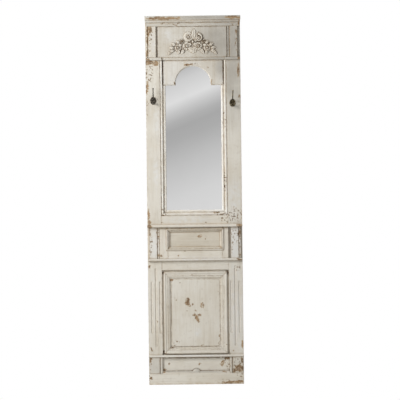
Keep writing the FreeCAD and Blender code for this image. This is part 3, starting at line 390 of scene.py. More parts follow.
def cast_hook(side, across, level, lean):
    bm = bmesh.new()
    oval_plate(bm)
    bar = wire_ring(bm, (0, 0, PRONG_RISE), PRONG_RADIUS * ROOT_SWELL, FORWARD)
    bar = draw_out(bm, bar, (0, -PLATE_THICKNESS, 0))
    bar = draw_out(bm, bar, (0, PLATE_THICKNESS + PRONG_BEND - PRONG_REACH, 0), thin=1 / ROOT_SWELL)
    bar = bend(bm, bar, (0, PRONG_BEND - PRONG_REACH, PRONG_RISE + PRONG_BEND), SIDEWAYS, -90)
    draw_out(bm, bar, (0, 0, PRONG_TOP - PRONG_RISE - PRONG_BEND))
    ball(bm, (0, -PRONG_REACH, PRONG_TOP), TIP_RADIUS, squash=(1, 1, 0.9))
    arm = wire_ring(bm, (0, 0, -BALL_DROP), ARM_RADIUS, FORWARD)
    arm = draw_out(bm, arm, (0, -ARM_NECK, 0), thin=ARM_THINNING)
    draw_out(bm, arm, (0, ARM_NECK - BALL_REACH, 0))
    ball(bm, (0, -BALL_REACH, -BALL_DROP), BALL_RADIUS, squash=(1, 0.9, 1))
    bmesh.ops.rotate(bm, verts=bm.verts, cent=(0, 0, 0), matrix=rotation(lean, "Y"))
    bmesh.ops.translate(bm, verts=bm.verts, vec=(across * MM, STILE_FACE, level * MM))
    piece = finish_piece(f"hook_{side}_casting", bm, "frame", "iron", f"hook_{side}")
    sharpen(piece, 50)
    return piece


# Where each hook sits: millimetres across and up, and its lean in degrees
HOOK_PLACES = {"left": (-218, 1541, 0), "right": (212, 1525, 3)}
hooks = [cast_hook(side, *place) for side, place in HOOK_PLACES.items()]

# %% [markdown]
# ## Screws
# The hooks are held by round-headed slotted screws and the back by cross-headed ones. A head is a
# disc that is extruded and bevelled into a dome. The slot is cut the way a saw cuts it: two planes
# split the top, and the strip between them is pushed in.

# %% Screws
HEAD_RADIUS = 3.2 * MM
HEAD_HEIGHT = 2 * MM
DOME_RADIUS = 1.24 * MM
SHANK_RADIUS = 1.6 * MM
SHANK_TIP = 0.48 * MM
SHANK_LENGTH = 16 * MM
SLOT_WIDTH = 0.9 * MM
SLOT_DEPTH = 0.8 * MM
SLOT_LEVEL = 0.9 * MM
HOOK_SCREW_ACROSS = 9 * MM
HOOK_SCREW_DROP = 2 * MM
BACK_SCREW_ROWS = 4
BACK_SCREW_TURN = 31


def cut_slot(bm, degrees):
    """Split the top of a head along two lines and push the strip between them in."""
    across = Vector((math.cos(math.radians(degrees)), math.sin(math.radians(degrees)), 0))
    for side in (-0.5, 0.5):
        geom = list(bm.verts) + list(bm.edges) + list(bm.faces)
        cut = across * side * SLOT_WIDTH
        bmesh.ops.bisect_plane(bm, geom=geom, dist=1e-7, plane_co=cut, plane_no=across)
    strip = []
    for face in bm.faces:
        middle = face.calc_center_median()
        if abs(middle.dot(across)) < SLOT_WIDTH / 2 and middle.z > SLOT_LEVEL:
            strip.append(face)
    floor_points, _ = extrude(bm, strip)
    bmesh.ops.delete(bm, geom=strip, context="FACES")
    bmesh.ops.translate(bm, verts=floor_points, vec=(0, 0, -SLOT_DEPTH))


def screw(target, place, outwards, slots):
    """Add a screw whose head sits on a surface and looks outwards along Y."""
    bm = bmesh.new()
    bmesh.ops.create_circle(bm, cap_ends=True, segments=20, radius=HEAD_RADIUS)
    top, _ = extrude(bm, list(bm.faces))
    bmesh.ops.translate(bm, verts=top, vec=(0, 0, HEAD_HEIGHT))
    bmesh.ops.recalc_face_normals(bm, faces=bm.faces)
    round_over(bm, ring_edges(top), DOME_RADIUS, segments=4)
    for degrees in slots:
        cut_slot(bm, degrees)
    shank = bmesh.ops.create_cone(bm, cap_ends=True, segments=12, radius1=SHANK_TIP, radius2=SHANK_RADIUS,
                                  depth=SHANK_LENGTH)["verts"]
    bmesh.ops.translate(bm, verts=shank, vec=(0, 0, -SHANK_LENGTH / 2))
    bmesh.ops.rotate(bm, verts=bm.verts, cent=(0, 0, 0), matrix=rotation(-90 * outwards, "X"))
    bmesh.ops.translate(bm, verts=bm.verts, vec=place)
    add_copy(target, bm)


hook_heads = bmesh.new()
for across, level, lean in HOOK_PLACES.values():
    plate_face = Vector((across * MM, STILE_FACE - PLATE_THICKNESS, level * MM))
    for end, angle in ((-1, 20), (1, 75)):
        spot = rotation(lean, "Y") @ Vector((HOOK_SCREW_ACROSS * end, 0, -HOOK_SCREW_DROP))
        screw(hook_heads, plate_face + spot, -1, (angle,))
hook_screws = finish_piece("hook_screw_heads", hook_heads, "frame", "iron", "hook_screws")

back_heads = bmesh.new()
back_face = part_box("mirror_backing")[1].y
screw_low, screw_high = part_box("backing_screws")
first, last = screw_low.z + HEAD_RADIUS, screw_high.z - HEAD_RADIUS
for hand in (-1, 1):
    for index in range(BACK_SCREW_ROWS):
        level = first + (last - first) * index / (BACK_SCREW_ROWS - 1)
        spot = Vector(((screw_high.x - HEAD_RADIUS) * hand, back_face, level))
        angle = BACK_SCREW_TURN * index
        screw(back_heads, spot, 1, (angle, angle + 90))
backing_screws = finish_piece("backing_screw_heads", back_heads, "frame", "steel", "backing_screws")

# %% [markdown]
# ## The wall hangers
# Each hanger is a strip of steel that is rolled over the straight bar of a D-ring. The strip is a
# small rectangle, extruded up the board, joggled out and spun most of a turn round the bar. The
# ring is a wire that is extruded along its sides and spun round its four corners; only it moves.

# %% Hangers
STRAP_THICKNESS = 1.2 * MM
STRAP_JOGGLE = 5 * MM
STRAP_FOOT_ROUND = 4.5 * MM
STRAP_ROLL = math.radians(-318)
STRAP_ROLL_STEPS = 22
STRAP_SLOT_TURN = 900
WIRE_RADIUS = 1.5 * MM
BORE_RADIUS = 1.58 * MM
RING_HALF = 10.5 * MM
RING_HEIGHT = 24 * MM
RING_CORNER = 3 * MM
RING_FOOT_CORNER = 7 * MM


def strap(side):
    """A rolled strap; also returns the Y and Z of the bar that it is rolled round."""
    node = f"hanger_strap_{side}"
    low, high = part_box(node)
    axis_y = high.y - BORE_RADIUS - STRAP_THICKNESS
    axis_z = high.z - BORE_RADIUS - STRAP_THICKNESS
    bm = bmesh.new()
    made = bmesh.ops.create_grid(bm, x_segments=1, y_segments=1, size=0.5)["verts"]
    bmesh.ops.scale(bm, verts=made, vec=(high.x - low.x, STRAP_THICKNESS, 1))
    bmesh.ops.translate(bm, verts=made, vec=((low.x + high.x) / 2, STRAP_THICKNESS / 2, low.z))
    up_the_board = (0, 0, axis_z - low.z - STRAP_JOGGLE)
    joggled_out = (0, axis_y - BORE_RADIUS - STRAP_THICKNESS, STRAP_JOGGLE)
    section = list(bm.faces)
    for step, move in enumerate((up_the_board, joggled_out)):
        fresh, grown = extrude(bm, section)
        if step:
            bmesh.ops.delete(bm, geom=section, context="FACES_ONLY")
        bmesh.ops.translate(bm, verts=fresh, vec=move)
        section = grown
    geom = section + list(section[0].edges) + list(section[0].verts)
    bmesh.ops.spin(bm, geom=geom, cent=(0, axis_y, axis_z), axis=SIDEWAYS, angle=STRAP_ROLL,
                   steps=STRAP_ROLL_STEPS)
    bmesh.ops.recalc_face_normals(bm, faces=bm.faces)
    corners = []
    for edge in bm.edges:
        through = abs(edge.verts[0].co.y - edge.verts[1].co.y) > STRAP_THICKNESS / 2
        if through and max(point.co.z for point in edge.verts) < low.z + 1e-6:
            corners.append(edge)
    round_over(bm, corners, STRAP_FOOT_ROUND, segments=5)
    piece = finish_piece(f"strap_{side}_plate", bm, "frame", "steel", node)
    sharpen(piece, 40)
    return piece, axis_y, axis_z


def ring(side, axis_y, axis_z):
    """A D-ring of wire that hangs from the middle of its bar."""
    node = f"hanger_ring_{side}"
    corner_at = Vector((middle_of(node).x, axis_y, axis_z))
    bm = bmesh.new()
    wire = wire_ring(bm, corner_at, WIRE_RADIUS, SIDEWAYS)
    half_bar = RING_HALF - RING_CORNER
    upright = RING_HEIGHT - RING_CORNER - RING_FOOT_CORNER
    foot = 2 * (RING_HALF - RING_FOOT_CORNER)
    runs = ((half_bar, RING_CORNER), (upright, RING_FOOT_CORNER), (foot, RING_FOOT_CORNER),
            (upright, RING_CORNER), (half_bar, 0))
    heading = Vector(SIDEWAYS)
    for run, corner in runs:
        wire = draw_out(bm, wire, heading * run)
        corner_at = corner_at + heading * run
        if corner:
            inwards = rotation(90, "Y") @ heading
            pivot = corner_at + inwards * corner
            wire = bend(bm, wire, pivot, (0, 1, 0), 90, steps=8)
            corner_at = pivot + heading * corner
            heading = inwards
    return finish_piece(f"ring_{side}_wire", bm, f"ring_{side}", "steel", node)


straps = []
rings = []
strap_heads = bmesh.new()
strap_low, strap_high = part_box("hanger_screws")
for side in ("left", "right"):
    plate, axis_y, axis_z = strap(side)
    straps.append(plate)
    rings.append(ring(side, axis_y, axis_z))
    for level in (strap_low.z + HEAD_RADIUS, strap_high.z - HEAD_RADIUS):
        spot = Vector((middle_of(f"hanger_strap_{side}").x, STRAP_THICKNESS, level))
        angle = STRAP_SLOT_TURN * level
        screw(strap_heads, spot, 1, (angle, angle + 90))
strap_screws = finish_piece("strap_screw_heads", strap_heads, "frame", "steel", "hanger_screws")

# %% [markdown]
# ## Rubber bumpers
# Four soft pads keep the frame off the wall. Each is a low tapered plug with a rounded rim and a
# dished face, made from a cone by a bevel, an inset and a push.

# %% Bumpers
pad_low, pad_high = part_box("wall_bumpers")
PAD_HEIGHT = pad_high.y - pad_low.y
PAD_RADIUS = 11 * MM
PAD_FACE_RADIUS = PAD_RADIUS * 0.86
PAD_ROUND = 1.6 * MM
PAD_RIM = 3 * MM
PAD_DISH = 1.2 * MM


def pad(target, place):
    bm = bmesh.new()
    bmesh.ops.create_cone(bm, cap_ends=True, segments=28, radius1=PAD_RADIUS, radius2=PAD_FACE_RADIUS,
                          depth=PAD_HEIGHT)
    round_over(bm, ring_edges([point for point in bm.verts if point.co.z > 0]), PAD_ROUND, segments=3)
    face = [face for face in bm.faces if face.normal.z > 0.99 and face.calc_center_median().z > 0]
    bmesh.ops.inset_region(bm, faces=face, thickness=PAD_RIM)
    bmesh.ops.translate(bm, verts=list(face[0].verts), vec=(0, 0, -PAD_DISH))
    bmesh.ops.rotate(bm, verts=bm.verts, cent=(0, 0, 0), matrix=rotation(-90, "X"))
    bmesh.ops.translate(bm, verts=bm.verts, vec=place)
    add_copy(target, bm)


pads = bmesh.new()
for hand in (-1, 1):
    for level in (pad_low.z + PAD_RADIUS, pad_high.z - PAD_RADIUS):
        pad(pads, ((pad_high.x - PAD_RADIUS) * hand, pad_low.y + PAD_HEIGHT / 2, level))
bumpers = finish_piece("bumper_pads", pads, "frame", "rubber", "wall_bumpers")
sharpen(bumpers, 40)

# %% [markdown]
# ## Soft edges on the joinery
# Painted wood never has a knife edge. The solids stay as they are, and modifiers soften them: the
# loose triangles are welded, flat neighbours become one face, and a small bevel rounds what is left.

# %% Soften the boards
BOARD_EDGE = 1.2 * MM
GLASS_EDGE = 0.3 * MM
WELD_DISTANCE = 0.01 * MM
FLAT_ANGLE = math.radians(1)
CRISP_ANGLE = math.radians(35)

boards = {name: item for name, item in nodes.items() if name not in replaced}
for name, item in boards.items():
    welded = item.modifiers.new("welded", "WELD")
    welded.merge_threshold = WELD_DISTANCE
    flat = item.modifiers.new("one_face_each_side", "DECIMATE")
    flat.decimate_type = "DISSOLVE"
    flat.angle_limit = FLAT_ANGLE
    rounded = item.modifiers.new("rounded", "BEVEL")
    rounded.width = GLASS_EDGE if name == "mirror_glass" else BOARD_EDGE
    rounded.segments = 2
    rounded.limit_method = "ANGLE"
    rounded.angle_limit = CRISP_ANGLE
    rounded.use_clamp_overlap = False
    item.modifiers.new("even_shade", "WEIGHTED_NORMAL")
print(len(boards), "boards softened")

# %% [markdown]
# ## Tools for materials
# A material here is a small tree of nodes. These helpers add a node with its values or links in one
# line, so that the trees below read like recipes. Shared effects are node groups with named sockets.

# %% Node helpers
def feed(tree, made, feeds):
    """Put values or links into a node's inputs."""
    for socket, value in feeds.items():
        if isinstance(value, bpy.types.NodeSocket):
            tree.links.new(value, made.inputs[socket])
        else:
            made.inputs[socket].default_value = value
    return made


def shade(tree, kind, feeds=None, **settings):
    """Add a shader node; feeds go into its inputs as values or links."""
    made = tree.nodes.new(f"ShaderNode{kind}")
    for name, value in settings.items():
        setattr(made, name, value)
    return feed(tree, made, feeds or {})


def calc(tree, operation, first, second):
    """A sum or the like that stays between 0 and 1."""
    return shade(tree, "Math", {0: first, 1: second}, operation=operation, use_clamp=True).outputs[0]


def plus(tree, first, second):
    return calc(tree, "ADD", first, second)


def minus(tree, first, second):
    return calc(tree, "SUBTRACT", first, second)


def times(tree, first, second):
    return calc(tree, "MULTIPLY", first, second)


def most(tree, first, second):
    return calc(tree, "MAXIMUM", first, second)


def vector(tree, operation, first, second):
    return shade(tree, "VectorMath", {0: first, 1: second}, operation=operation).outputs[0]


def dot(tree, first, second):
    return shade(tree, "VectorMath", {0: first, 1: second}, operation="DOT_PRODUCT").outputs["Value"]


def ramp(tree, value, low, high):
    """0 below low, 1 above high and smooth between them."""
    feeds = {"Value": value, "From Min": low, "From Max": high}
    return shade(tree, "MapRange", feeds, interpolation_type="SMOOTHSTEP").outputs[0]


def blend(tree, share, first, second):
    return shade(tree, "Mix", {0: share, 6: first, 7: second}, data_type="RGBA").outputs[2]


def tinge(tree, tone, mask, strength, colour):
    """Lay a colour over a tone where a mask says so, at a strength."""
    return blend(tree, times(tree, mask, strength), tone, colour)


def noise(tree, place, scale, detail, rough):
    feeds = {"Vector": place, "Scale": scale, "Detail": detail, "Roughness": rough}
    return shade(tree, "TexNoise", feeds).outputs[0]


def own_place(tree):
    return shade(tree, "TexCoord").outputs["Object"]


def flatness(tree, radius):
    """1 on a flat face, and less where a bevel of this radius would round an edge."""
    near = shade(tree, "Bevel", {"Radius": radius}, samples=4).outputs[0]
    return dot(tree, near, shade(tree, "NewGeometry").outputs["Normal"])


def add_relief(tree, surface, height, strength, depth):
    bump = shade(tree, "Bump", {"Strength": strength, "Distance": depth, "Height": height})
    feed(tree, surface, {"Normal": bump.outputs[0]})


def new_group(name, inputs, outputs):
    """A node group with named sockets; returns its tree, what it is given and its output node."""
    tree = bpy.data.node_groups.new(name, "ShaderNodeTree")
    kinds = {"value": "NodeSocketFloat", "colour": "NodeSocketColor", "vector": "NodeSocketVector"}
    for way, sockets in (("INPUT", inputs), ("OUTPUT", outputs)):
        for socket, kind in sockets.items():
            tree.interface.new_socket(socket, in_out=way, socket_type=kinds[kind])
    return tree, tree.nodes.new("NodeGroupInput").outputs, tree.nodes.new("NodeGroupOutput")


def use_group(tree, group, feeds):
    """Place a group in a tree and return its outputs."""
    made = tree.nodes.new("ShaderNodeGroup")
    made.node_tree = group
    return feed(tree, made, feeds).outputs


def new_material(name):
    material = bpy.data.materials.new(name)
    material.use_nodes = True
    return material, material.node_tree, material.node_tree.nodes["Principled BSDF"]


print("node helpers ready")

# %% [markdown]
# ## Wood grain
# Bare wood shows where the paint is gone, on the back and on the plywood. Grain is noise that is
# drawn out along the board, with finer fibres on top. Along holds the scale on each axis, so one
# group serves upright and lying boards.

# %% Wood grain group
grain, given, out = new_group(
    "wood_grain", {"Place": "vector", "Along": "vector", "Light": "colour", "Dark": "colour"},
    {"Colour": "colour", "Height": "value"})
drawn = vector(grain, "MULTIPLY", given["Place"], given["Along"])
bands = noise(grain, drawn, 1.0, 4.0, 0.6)
fibres = noise(grain, drawn, 7.0, 2.0, 0.5)
streak = plus(grain, times(grain, bands, 0.7), times(grain, fibres, 0.3))
colour = blend(grain, ramp(grain, streak, 0.36, 0.64), given["Dark"], given["Light"])
feed(grain, out, {"Colour": colour, "Height": streak})
print("group", grain.name)

# %% [markdown]
# ## Worn patches
# The photograph shows where the paint is rubbed away, so each place gets a patch of its own: an oval
# in width and height. A ragged place, pushed about by coarse and fine noise, is worked out once for
# a whole material and breaks the outline of every oval.

# %% Patch groups
ragged, given, out = new_group(
    "ragged_place", {"Place": "vector", "Coarse": "value", "Fine": "value"}, {"Place": "vector"})
place = given["Place"]
for name, scale in (("Coarse", 34.0), ("Fine", 150.0)):
    feeds = {"Vector": given["Place"], "Scale": scale, "Detail": 4.0, "Roughness": 0.7}
    wobble = shade(ragged, "TexNoise", feeds).outputs["Color"]
    centred = vector(ragged, "SUBTRACT", wobble, (0.5, 0.5, 0.5))
    sized = shade(ragged, "VectorMath", {0: centred, "Scale": given[name]}, operation="SCALE").outputs[0]
    place = vector(ragged, "ADD", place, sized)
feed(ragged, out, {"Place": place})

patch, given, out = new_group(
    "worn_patch",
    {"Place": "vector", "Centre": "vector", "Reach": "vector", "Outer": "value", "Inner": "value"},
    {"Mask": "value"})
offset = vector(patch, "SUBTRACT", given["Place"], given["Centre"])
shares = vector(patch, "DIVIDE", offset, given["Reach"])
far = shade(patch, "VectorMath", {0: shares}, operation="LENGTH").outputs["Value"]
feed(patch, out, {"Mask": ramp(patch, far, given["Outer"], given["Inner"])})
print("groups", ragged.name, patch.name)

# %% [markdown]
# ## Worn paint
# The finish is chalky cream paint over brown wood: cloudy in tone, streaked along the board, rubbed through
# at edges and in patches, flaked in places, with brown wax and painted shade in the corners, darker zones of
# painted shade and paler zones that are partly painted light. One group mixes these. Edges and corners come
# in as values, because the nodes that feel them stay outside.

# %% Worn paint group
FRESH_STROKE = (0.76, 0.75, 0.72, 1)
OLD_STROKE = (0.36, 0.30, 0.22, 1)
FOXING = (0.40, 0.33, 0.24, 1)
# Pale grey for faded paint and painted light
CHALK_AND_LIGHT = (0.74, 0.74, 0.725, 1)
# Grey-brown for painted shade
SHADE_TONE = (0.33, 0.31, 0.275, 1)
# Brown for tan stain and painted shade in corners
CORNER_TAN_AND_SHADE = (0.45, 0.29, 0.13, 1)
THIN_PAINT = (0.44, 0.33, 0.20, 1)
DARK_GRAIN = (0.13, 0.078, 0.042, 1)
DUST = (0.50, 0.47, 0.42, 1)

paint, given, out = new_group(
    "worn_paint",
    {"Place": "vector", "Along": "vector", "Patches": "value", "Flakes": "value", "Pale": "value",
     "Painted Shade": "value", "Edge": "value", "Shut": "value", "Tan And Shade": "value", "Wax And Shade": "value",
     "Behind": "value", "Up": "value", "Paint": "colour", "Stain": "colour", "Wood": "colour",
     "Wax": "colour"},
    {"Colour": "colour", "Roughness": "value", "Height": "value"})
place = given["Place"]
brushed = vector(paint, "MULTIPLY", place, given["Along"])
cloud = noise(paint, place, 5.0, 4.0, 0.6)
mottle = noise(paint, place, 46.0, 4.0, 0.65)
broken = noise(paint, place, 170.0, 4.0, 0.7)
broad = noise(paint, brushed, 0.55, 2.0, 0.5)
strokes = noise(paint, brushed, 2.2, 3.0, 0.6)

# The tone of the paint, from clouds and brush strokes to painted shade and corners of tan stain with painted
# shade
tone = tinge(paint, given["Paint"], ramp(paint, cloud, 0.38, 0.68), 0.55, given["Stain"])
tone = tinge(paint, tone, ramp(paint, broad, 0.5, 0.72), 0.5, given["Stain"])
tone = tinge(paint, tone, ramp(paint, strokes, 0.5, 0.72), 0.25, FRESH_STROKE)
tone = tinge(paint, tone, ramp(paint, strokes, 0.46, 0.32), 0.16, OLD_STROKE)
tone = tinge(paint, tone, ramp(paint, mottle, 0.55, 0.72), 0.25, FOXING)
# Pale zones: faded paint, and painted light where a shadow is lifted, as under the shelf
pale_and_lit = times(paint, given["Pale"], ramp(paint, mottle, 0.25, 0.75))
tone = tinge(paint, tone, pale_and_lit, 0.75, CHALK_AND_LIGHT)
# Painted shade: darker zones on the side away from the lamp and along grooves, given per region
shaded_area = times(paint, given["Painted Shade"], ramp(paint, cloud, 0.15, 0.6))
tone = tinge(paint, tone, shaded_area, 0.65, SHADE_TONE)
# Tan stain and painted shade in corners, deepest where a corner is most shut
corner_tan_shade_mask = times(paint, ramp(paint, given["Shut"], 0.94, 0.55), ramp(paint, mottle, 0.3, 0.6))
tone = tinge(paint, tone, corner_tan_shade_mask, given["Tan And Shade"], CORNER_TAN_AND_SHADE)

# Where the paint is gone: patches and edges with islands of paint left in them, chips and specks
edge_worn = times(paint, given["Edge"], ramp(paint, mottle, 0.36, 0.58))
speck = times(paint, given["Flakes"], ramp(paint, noise(paint, place, 105.0, 3.0, 0.6), 0.55, 0.60))
chip_spots = ramp(paint, noise(paint, place, 27.0, 2.0, 0.5), 0.74, 0.77)
chips = times(paint, chip_spots, ramp(paint, broken, 0.4, 0.5))
islands = minus(paint, 1.0, times(paint, ramp(paint, broken, 0.53, 0.60), 0.85))
lost = times(paint, most(paint, given["Patches"], edge_worn), islands)
gone = most(paint, most(paint, lost, most(paint, chips, speck)), given["Behind"])

# The layers from paint to thin paint, bare wood, wax with painted shade in corners, and dust
bare_wood = use_group(paint, grain, {"Place": place, "Along": given["Along"], "Light": given["Wood"],
                                     "Dark": DARK_GRAIN})
colour = blend(paint, ramp(paint, gone, 0.05, 0.4), tone, THIN_PAINT)
colour = blend(paint, ramp(paint, gone, 0.4, 0.8), colour, bare_wood["Colour"])
colour = tinge(paint, colour, speck, 0.6, given["Wax"])
# Wax and painted shade darken the corners and the shaded joints
wax_and_shade_mask = times(paint, given["Wax And Shade"], plus(paint, 0.55, ramp(paint, mottle, 0.3, 0.6)))
colour = blend(paint, wax_and_shade_mask, colour, given["Wax"])
dusty = times(paint, ramp(paint, given["Up"], 0.75, 0.98), times(paint, cloud, 0.5))
colour = blend(paint, dusty, colour, DUST)
rough = minus(paint, 0.86, times(paint, most(paint, gone, wax_and_shade_mask), 0.24))
rough = plus(paint, rough, times(paint, strokes, 0.08))
raised = times(paint, minus(paint, 1.0, gone), 0.6)
fine = plus(paint, times(paint, strokes, 0.2), times(paint, bare_wood["Height"], 0.2))
feed(paint, out, {"Colour": colour, "Roughness": rough, "Height": plus(paint, raised, fine)})
print("group", paint.name)

# %% [markdown]
# ## One painted material for each region
# A region lists its own patches, flaked and pale zones, zones of painted shade and dark joints with painted
# shadow, in millimetres across, up and half sizes, read off the photograph. A bevel node compared with the
# face shows where an edge is near, and occlusion shows where a corner is; wax and painted shade gather
# there. Faces on the wall side are left as raw wood.

# %% Painted materials
UPRIGHT = (60.0, 60.0, 3.5)
LYING = (3.5, 60.0, 60.0)
CREAM = (0.70, 0.665, 0.59, 1)
STAIN = (0.58, 0.52, 0.42, 1)
BROWN = (0.37, 0.245, 0.135, 1)
WAX = (0.135, 0.085, 0.045, 1)
# Where an oval fades out and where it is full, in shares of its half sizes
CRISP = (1.25, 0.65)
SOFT = (1.5, 0.2)
ANY_DEPTH = 10
EDGE_REACH = 4 * MM
CORNER_REACH = 16 * MM
# Faces towards the wall are raw wood behind this depth, and painted in front of the other one
RAW_BEHIND = -18 * MM
PAINTED_BEFORE = -22 * MM
PAINT_RELIEF = 0.6 * MM


def zone_mask(tree, place, zones, softness=CRISP):
    """The strongest of several ovals at a place."""
    mask = 0.0
    for across, up, half_width, half_height in zones:
        feeds = {"Place": place, "Centre": (across * MM, 0, up * MM),
                 "Reach": (half_width * MM, ANY_DEPTH, half_height * MM),
                 "Outer": softness[0], "Inner": softness[1]}
        mask = most(tree, use_group(tree, patch, feeds)["Mask"], mask)
    return mask


# Light and tone scales a region's paint: below 1 it is painted shade, above 1 painted light, on top of the
# paint's own tone
def tinted(colour, light_and_tone):
    return [share * light_and_tone for share in colour[:3]] + [1]


def painted(name, along, patches=(), flakes=(), pale=(), painted_shade=(), joints=(), wear=1.0, wax_and_shade=0.5, tan_and_shade=0.5,
            shut=(0.6, 0.15), light_and_tone=1.0, cream=CREAM):
    """A painted material; shut says at which openness a corner starts to fill with wax and painted shade and
    is full.
    """
    material, tree, surface = new_material(name)
    spot = own_place(tree)
    worn_place = use_group(tree, ragged, {"Place": spot, "Coarse": 0.035, "Fine": 0.016})["Place"]
    openness = shade(tree, "AmbientOcclusion", {"Distance": CORNER_REACH}, samples=12).outputs["AO"]
    edge = times(tree, ramp(tree, flatness(tree, EDGE_REACH), 0.985, 0.90), ramp(tree, openness, 0.5, 0.85))
    # Corners fill with wax and painted shade by how shut they are
    filled = times(tree, ramp(tree, openness, *shut), wax_and_shade)
    # Shaded joints: listed gaps and the right sides of raised forms get wax with painted shadow
    if joints:
        dark = times(tree, zone_mask(tree, worn_place, joints), ramp(tree, openness, 0.96, 0.5))
        filled = most(tree, filled, dark)
    look = shade(tree, "SeparateXYZ", {0: shade(tree, "NewGeometry").outputs["Normal"]}).outputs
    depth = shade(tree, "SeparateXYZ", {0: spot}).outputs["Y"]
    behind = times(tree, ramp(tree, look["Y"], 0.6, 0.9), ramp(tree, depth, PAINTED_BEFORE, RAW_BEHIND))
    # The light and tone factor, painted shade zones, and wax and tan with painted shade go into the worn
    # paint
    finish = use_group(tree, paint, {
        "Place": spot, "Along": along, "Patches": zone_mask(tree, worn_place, patches),
        "Flakes": zone_mask(tree, worn_place, flakes), "Pale": zone_mask(tree, worn_place, pale, SOFT),
        "Painted Shade": zone_mask(tree, spot, painted_shade, SOFT), "Edge": times(tree, edge, wear), "Shut": openness,
        "Tan And Shade": tan_and_shade, "Wax And Shade": filled, "Behind": behind, "Up": look["Z"], "Paint": tinted(cream, light_and_tone),
        "Stain": tinted(STAIN, light_and_tone), "Wood": BROWN, "Wax": WAX})
    feed(tree, surface, {"Base Color": finish["Colour"], "Roughness": finish["Roughness"],
                         "Specular IOR Level": 0.3})
    add_relief(tree, surface, finish["Height"], 0.5, PAINT_RELIEF)
    return material


def dress(members, material):
    for member in members:
        nodes[member].material_slots[0].material = material
    print(material.name, "on", len(members), "solids")


print("painted materials can be made")

# %% [markdown]
# ## Regions of the top
# The crown is thinly painted and dull, the left casing of the frieze is rubbed along its outer edge and the
# stiles are speckled under the caps. The crown, the frieze, its right casing, the neck and the upper right
# stile carry painted shade on their right-hand parts, away from the lamp.

# %% Paint the top
dress(["cornice_board", "bed_moulding", "architrave"], painted(
    "painted_crown", LYING,
    patches=[(-190, 1989, 60, 9), (-110, 1986, 46, 8), (216, 1990, 42, 9), (252, 1965, 6, 16)],
    flakes=[(-90, 1960, 90, 8), (235, 1955, 25, 10)],
    painted_shade=[(190, 1975, 120, 50), (40, 1990, 120, 9)],
    light_and_tone=0.83, wax_and_shade=0.6, tan_and_shade=0.7))
dress(["frieze_board"], painted(
    "painted_frieze", UPRIGHT,
    pale=[(-140, 1900, 30, 40)],
    painted_shade=[(160, 1870, 130, 130)],
    joints=[(-194, 1860, 17, 105), (0, 1940, 190, 6), (80, 1860, 70, 70), (186, 1860, 10, 105)],
    light_and_tone=0.9, wax_and_shade=0.6, shut=(0.92, 0.45)))
dress(["frieze_casing_left"], painted(
    "painted_casing_left", UPRIGHT,
    patches=[(-240, 1920, 12, 32), (-247, 1868, 6, 22), (-247, 1795, 6, 18), (-224, 1930, 7, 14)],
    flakes=[(-244, 1860, 14, 85), (-234, 1900, 18, 36)],
    pale=[(-215, 1850, 16, 70)],
    joints=[(-197, 1860, 15, 110)]))
dress(["frieze_casing_right"], painted(
    "painted_casing_right", UPRIGHT,
    patches=[(242, 1905, 4, 16)],
    flakes=[(240, 1860, 8, 80)],
    painted_shade=[(215, 1860, 70, 150)],
    joints=[(242, 1880, 8, 60), (188, 1860, 8, 95)],
    light_and_tone=0.85))
dress(["necking_cap_left", "necking_cap_right", "necking_strip", "neck_rail", "top_rail"], painted(
    "painted_neck", LYING,
    patches=[(-246, 1762, 12, 6), (250, 1765, 8, 8)],
    painted_shade=[(190, 1765, 160, 60)],
    light_and_tone=0.88, tan_and_shade=0.7))
dress(["stile_left", "stile_right"], painted(
    "painted_stiles", UPRIGHT,
    patches=[(-238, 1747, 22, 13), (-204, 1744, 17, 15), (-250, 1612, 7, 34), (245, 1705, 7, 38),
             (-248, 920, 6, 34), (-246, 880, 9, 14), (252, 1560, 5, 10), (-250, 640, 5, 12),
             (250, 215, 8, 20)],
    flakes=[(-238, 1690, 24, 58), (215, 918, 42, 42), (250, 1540, 8, 40), (-250, 1500, 6, 40),
            (225, 630, 25, 14)],
    pale=[(-205, 1150, 16, 90), (-200, 1430, 18, 100), (218, 1010, 40, 110), (218, 420, 44, 260)],
    # painted shade on the upper right stile, away from the lamp
    painted_shade=[(225, 1650, 80, 240)],
    joints=[(-178, 172, 10, 12), (-178, 615, 10, 12), (178, 615, 10, 14), (178, 172, 10, 12)],
    wax_and_shade=0.1, tan_and_shade=0.25, shut=(0.93, 0.45)))
crest.data.materials.append(painted(
    "painted_carving", UPRIGHT,
    patches=[(0, 1840, 7, 5)],
    # painted shadow to the right of the carved forms, away from the lamp
    joints=[(75, 1858, 66, 70)],
    wear=0.8, wax_and_shade=1.0, tan_and_shade=0.9, shut=(0.98, 0.62), light_and_tone=1.02))

# %% [markdown]
# ## Regions of the mirror, shelf and door
# The mirror surround is clean, so its grooves get little wax and painted shade, and its paint is lighter as
# painted light against the shade in its grooves. Under the shelf a pale strip is painted light over the
# shelf's shadow. The small casings under the shelf are whiter and flake, the door panel has bare spots in
# its middle and at the corners of its field, and the right block of the plinth has lost most of its paint.
# Along the top of the plinth rail a dark line is painted shade, and the right side of the arch board has
# painted shade.

